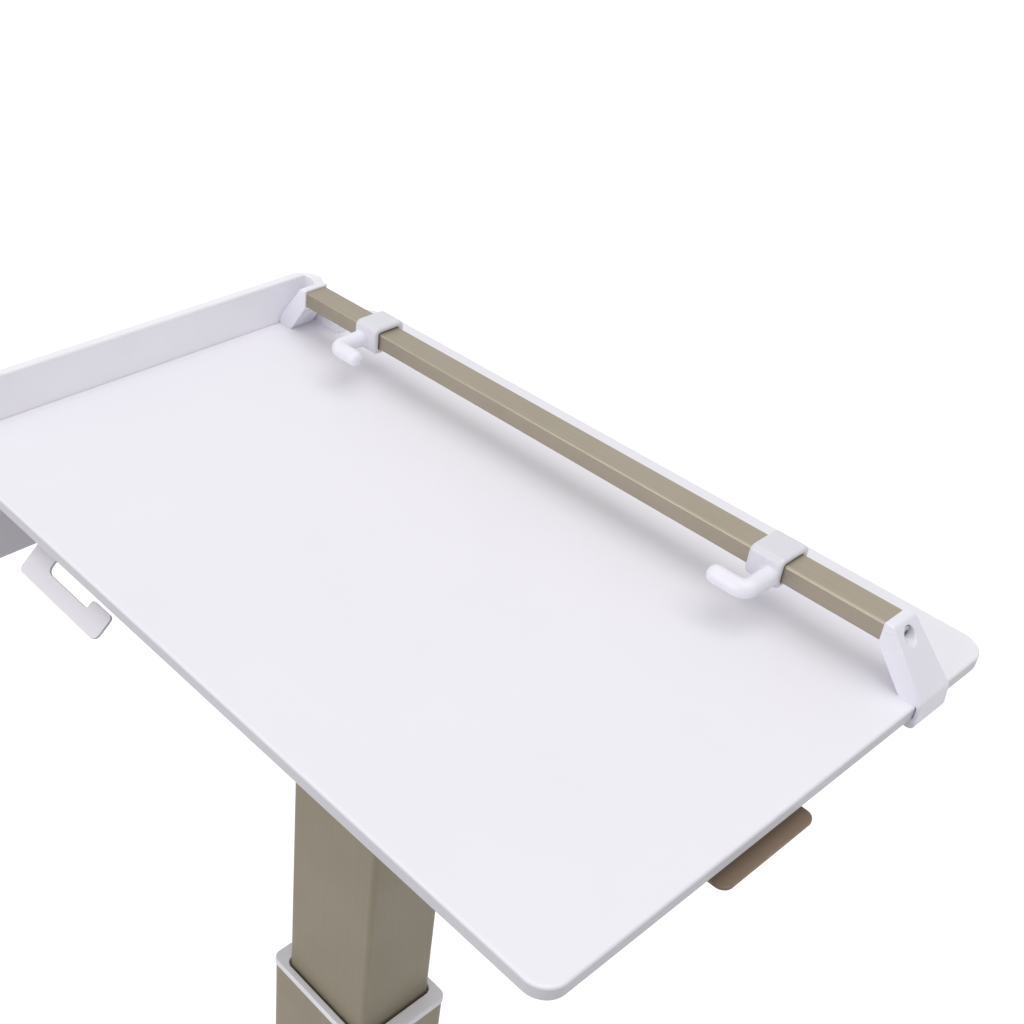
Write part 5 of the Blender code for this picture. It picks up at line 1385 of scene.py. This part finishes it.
    def build(self, shapes: dict[str, bpy.types.Mesh]) -> None:
        """Place the caster's pieces on their bodies.

        Args:
            shapes: meshes shared among the casters, by name.
        """
        hub = box_centre("caster_wheel_" + self.place)
        swivel = Vector((hub.x, hub.y - self.trail, 0.0))
        fork = "braked_fork" if self.braked else "plain_fork"
        pieces = [("fork", fork, swivel, NYLON, "swivel_", "grey_nylon"),
                  ("axle", "axle", hub, ZINC_PLATE, "swivel_", "zinc_plated_steel"),
                  ("wheel", "wheel", hub, NYLON, "wheel_", "grey_nylon"),
                  ("tyre", "tyre", hub, POLYURETHANE, "wheel_", "grey_polyurethane")]
        for kind, shape, centre, finish, body, slot in pieces:
            piece = bpy.data.objects.new(kind + "_" + self.place, shapes[shape])
            self.seat(piece, centre, finish, body + self.place, slot, "caster_" + kind + "_" + self.place)
        if self.braked:
            pivot_y, pivot_z = self.brake_pivot()
            piece = bpy.data.objects.new("pedal_" + self.place, shapes["pedal"])
            self.seat(piece, swivel + Vector((0.0, pivot_y, pivot_z)), NYLON, "brake_" + self.place,
                      "grey_nylon", "brake_pedal_" + self.place)

    def seat(self, piece: bpy.types.Object, centre: Vector, finish: Finish, body: str, slot: str,
             node: str) -> None:
        """Put a shared shape in its place.

        Args:
            piece: the new object.
            centre: where its own origin goes.
            finish: its surface.
            body: the body that it rides on.
            slot: the record's material slot; not used.
            node: the CAD node that it replaces.
        """
        piece.location = centre
        bpy.context.scene.collection.objects.link(piece)
        settled(piece, finish, body, slot, node)

    @classmethod
    def shared_shapes(cls) -> dict[str, bpy.types.Mesh]:
        """Return the meshes that the four casters share."""
        plain, braked = cls("", False), cls("", True)
        solids = {"plain_fork": plain.fork(), "braked_fork": braked.fork(), "wheel": plain.wheel_core(),
                  "tyre": plain.tyre(), "axle": plain.axle(), "pedal": braked.pedal()}
        shapes = {}
        for name, solid in solids.items():
            holder = solid.as_object(name)
            shapes[name] = holder.data
            bpy.data.objects.remove(holder)
        return shapes


# Fasteners


@dataclass(frozen=True)
class Screw:
    """A screw with a hexagon recess, seen from its head."""

    node: str
    axis: Axis
    body: str
    finish: Finish
    slot: str
    shank: float
    head_height: float
    countersunk: bool = False

    def build(self) -> None:
        """Build the screw in its CAD node's place."""
        low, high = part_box(self.node)
        size, centre = high - low, (low + high) / 2.0
        upright = self.axis in (Axis.UP, Axis.DOWN)
        radius = (size.x if upright else size.y) / 2.0
        length = size.z if upright else size.x
        outward = {Axis.UP: Vector((0, 0, 1)), Axis.DOWN: Vector((0, 0, -1)), Axis.RIGHT: Vector((1, 0, 0)),
                   Axis.LEFT: Vector((-1, 0, 0))}[self.axis]
        face = centre + outward * (length / 2.0)
        chamfer = 0.12 * radius
        if self.countersunk:
            head = [(self.shank, -(radius - self.shank)), (radius, -0.2 * MM), (radius, 0.0)]
        else:
            head = [(self.shank, -self.head_height), (radius, -self.head_height), (radius, -chamfer),
                    (radius - chamfer, 0.0)]
        profile = [(0.0, -length), (self.shank, -length)] + head + [(0.0, 0.0)]
        solid = Solid.turned(profile, self.axis, face, 32)
        depth = 0.55 * (radius - self.shank if self.countersunk else self.head_height)
        recess = Solid.prism(circle(0.52 * radius, 6), Plane.XY, -depth, 0.5 * MM)
        turn = Matrix.Rotation(math.radians(5.0), 4, "Z")
        solid.cut(recess.moved(Matrix.Translation(face) @ self.axis.matrix() @ turn))
        dressed(solid, self.node + "_hex", self.finish, self.body, self.slot, self.node)


def screws() -> list[Screw]:
    """Return every screw of the cart."""
    zinc, black = (ZINC_PLATE, "zinc_plated_steel"), (BLACK_OXIDE, "black_oxide_steel")
    made = []
    for side, axis in (("left", Axis.LEFT), ("right", Axis.RIGHT)):
        made.append(Screw("bar_screw_" + side, axis, "lift", *zinc, 2.2 * MM, 2.2 * MM))
        made.append(Screw("foot_screw_" + side, Axis.DOWN, "base", *black, 4.0 * MM, 5.0 * MM))
        made.append(Screw("hook_set_screw_" + side, Axis.DOWN, "hook_" + side + "_slider", *black, 1.8 * MM,
                          1.5 * MM))
        for row in ("front", "rear"):
            made.append(Screw("worktop_screw_" + row + "_" + side, Axis.DOWN, "lift", *zinc, 2.0 * MM,
                              2.5 * MM))
    for row in ("front", "rear"):
        made.append(Screw("side_screw_" + row, Axis.LEFT, "lift", *zinc, 2.0 * MM, 0.0, True))
    made.append(Screw("tray_stop_screw", Axis.DOWN, "lift", *zinc, 2.5 * MM, 2.5 * MM))
    return made


KEPT_SOLIDS = {
    "worktop_frame": TAUPE_POWDER, "frame_screw_left": BLACK_OXIDE, "frame_screw_right": BLACK_OXIDE,
    "tray_rail_front": ACETAL, "tray_rail_rear": ACETAL, "lever_bracket": ZINC_PLATE, "lever_pin": ZINC_PLATE,
    "column_head": ZINC_PLATE, "gas_spring_cylinder": TAUPE_POWDER, "gas_spring_rod": HARD_CHROME,
    "foot_plate": ZINC_PLATE,
}


# Studio


@dataclass
class PhotographCamera:
    """The camera solved from the photograph's straight edges; the photograph is an off-centre crop."""

    azimuth: float = 48.6
    elevation: float = 35.7
    roll: float = -2.3
    focal_pixels: float = 1372.0
    centre_x: float = 335.0
    centre_y: float = 526.0
    frame_pixels: float = 1024.0
    sensor: float = 36.0
    position: tuple[float, float, float] = (0.4635, -0.4505, 1.5608)

    def build(self) -> None:
        """Add the camera and make it the scene's."""
        turn, rise, roll = (math.radians(value) for value in (self.azimuth, self.elevation, self.roll))
        forward = Vector((-math.sin(turn) * math.cos(rise), math.cos(turn) * math.cos(rise), -math.sin(rise)))
        level = Vector((math.cos(turn), math.sin(turn), 0.0))
        fall = forward.cross(level)
        right = math.cos(roll) * level + math.sin(roll) * fall
        down = -math.sin(roll) * level + math.cos(roll) * fall
        data = bpy.data.cameras.new("photograph_camera")
        data.sensor_width = self.sensor
        data.lens = self.focal_pixels * self.sensor / self.frame_pixels
        data.shift_x = (self.frame_pixels / 2.0 - self.centre_x) / self.frame_pixels
        data.shift_y = (self.centre_y - self.frame_pixels / 2.0) / self.frame_pixels
        data.clip_start, data.clip_end = 0.05, 60.0
        camera = bpy.data.objects.new("photograph_camera", data)
        turned = Matrix((right, -down, -forward)).transposed().to_4x4()
        camera.matrix_world = Matrix.Translation(self.position) @ turned
        bpy.context.scene.collection.objects.link(camera)
        bpy.context.scene.camera = camera


@dataclass(frozen=True)
class SoftLight:
    """A far, broad studio light: an even softbox seen under a wide angle.

    Attributes:
        name: the light's name.
        direction: from the cart toward the light.
        angle: how wide the light appears, in degrees.
        level: how brightly it lights a surface that faces it, where 1 renders white as white.
    """

    name: str
    direction: tuple[float, float, float]
    angle: float
    level: float

    def build(self) -> None:
        """Add the light."""
        data = bpy.data.lights.new(self.name, "SUN")
        data.energy = self.level * math.pi
        data.angle = math.radians(self.angle)
        light = bpy.data.objects.new(self.name, data)
        light.location = 3.0 * Vector(self.direction).normalized()
        light.rotation_mode = "QUATERNION"
        light.rotation_quaternion = Vector(self.direction).to_track_quat("Z", "Y")
        bpy.context.scene.collection.objects.link(light)


@dataclass
class Studio:
    """A pale floor, an even world and soft lights, at a level where a colour renders as it is written."""

    floor_size: float = 40.0
    world_level: float = 0.55
    bounce_colour: str = "#9A999D"
    paper_colour: str = "#EFEFF0"
    paper_glow: float = 0.30
    lights: tuple[SoftLight, ...] = (
        SoftLight("overhead_softbox", (0.18, 0.04, 1.0), 60.0, 0.375),
        SoftLight("front_softbox", (-0.25, -0.93, 0.28), 45.0, 0.27),
    )

    def white_to_camera(self, tree: Tree) -> Socket:
        """Return 1 for rays that come straight, mirrored or refracted from the camera."""
        path = add_node(tree, "ShaderNodeLightPath")
        first = worked(tree, "MAXIMUM", path.outputs["Is Camera Ray"], path.outputs["Is Glossy Ray"])
        return worked(tree, "MAXIMUM", first, path.outputs["Is Transmission Ray"])

    def build(self) -> None:
        """Add the world, the floor and the lights."""
        scene = bpy.context.scene
        scene.view_settings.view_transform = "Standard"
        world = bpy.data.worlds.new("studio_world")
        world.use_nodes = True
        scene.world = world
        tree = world.node_tree
        background = tree.nodes["Background"]
        level = ranged(tree, self.white_to_camera(tree), (0.0, 1.0), (self.world_level, 1.0))
        tree.links.new(level, background.inputs["Strength"])
        background.inputs["Color"].default_value = (1.0, 1.0, 1.0, 1.0)
        mesh = bpy.data.meshes.new("studio_floor")
        half = self.floor_size / 2.0
        mesh.from_pydata([(-half, -half, 0.0), (half, -half, 0.0), (half, half, 0.0), (-half, half, 0.0)], [],
                         [(0, 1, 2, 3)])
        floor = bpy.data.objects.new("studio_floor", mesh)
        mesh.materials.append(self.floor_material())
        scene.collection.objects.link(floor)
        for light in self.lights:
            light.build()

    def floor_material(self) -> bpy.types.Material:
        """Return a floor like white paper that takes the cart's shadow and throws little light back."""
        made = bpy.data.materials.new("studio_paper")
        made.use_nodes = True
        tree = made.node_tree
        shader = tree.nodes["Principled BSDF"]
        shader.inputs["Roughness"].default_value = 0.9
        seen = self.white_to_camera(tree)
        colour = mixed(tree, seen, linear(self.bounce_colour), linear(self.paper_colour))
        glow = worked(tree, "MULTIPLY", seen, self.paper_glow)
        shader.inputs["Emission Color"].default_value = (1.0, 1.0, 1.0, 1.0)
        tree.links.new(colour, shader.inputs["Base Color"])
        tree.links.new(glow, shader.inputs["Emission Strength"])
        return made


def main() -> None:
    """Build the cart from the worktop down, then the studio and the camera."""
    logging.basicConfig(level=logging.INFO, format="%(name)s: %(message)s")
    Worktop().build()
    SidePanel().build()
    SecurityBar().build()
    worktop_low, worktop_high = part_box("worktop")
    reach = 29.5 * MM
    EndBracket(1.0, worktop_high.x - reach, worktop_high.x + SEAT_GAP, 11.0 * MM, "right").build()
    EndBracket(-1.0, -worktop_low.x - reach, -worktop_low.x - EndBracket.lip_wall, 0.0, "left").build()
    for side, name in ((1.0, "right"), (-1.0, "left")):
        Hook(side, name).build()
    LiftLever().build()
    MouseTray().build()
    Column().build()
    Base().build()
    shapes = Caster.shared_shapes()
    for place in ("front_left", "front_right", "rear_left", "rear_right"):
        Caster(place, place.startswith("front")).build(shapes)
    for screw in screws():
        screw.build()
    for node, finish in KEPT_SOLIDS.items():
        repaint(node, finish)
    Studio().build()
    PhotographCamera().build()
    bpy.context.view_layer.update()


if __name__ == "__main__":
    main()
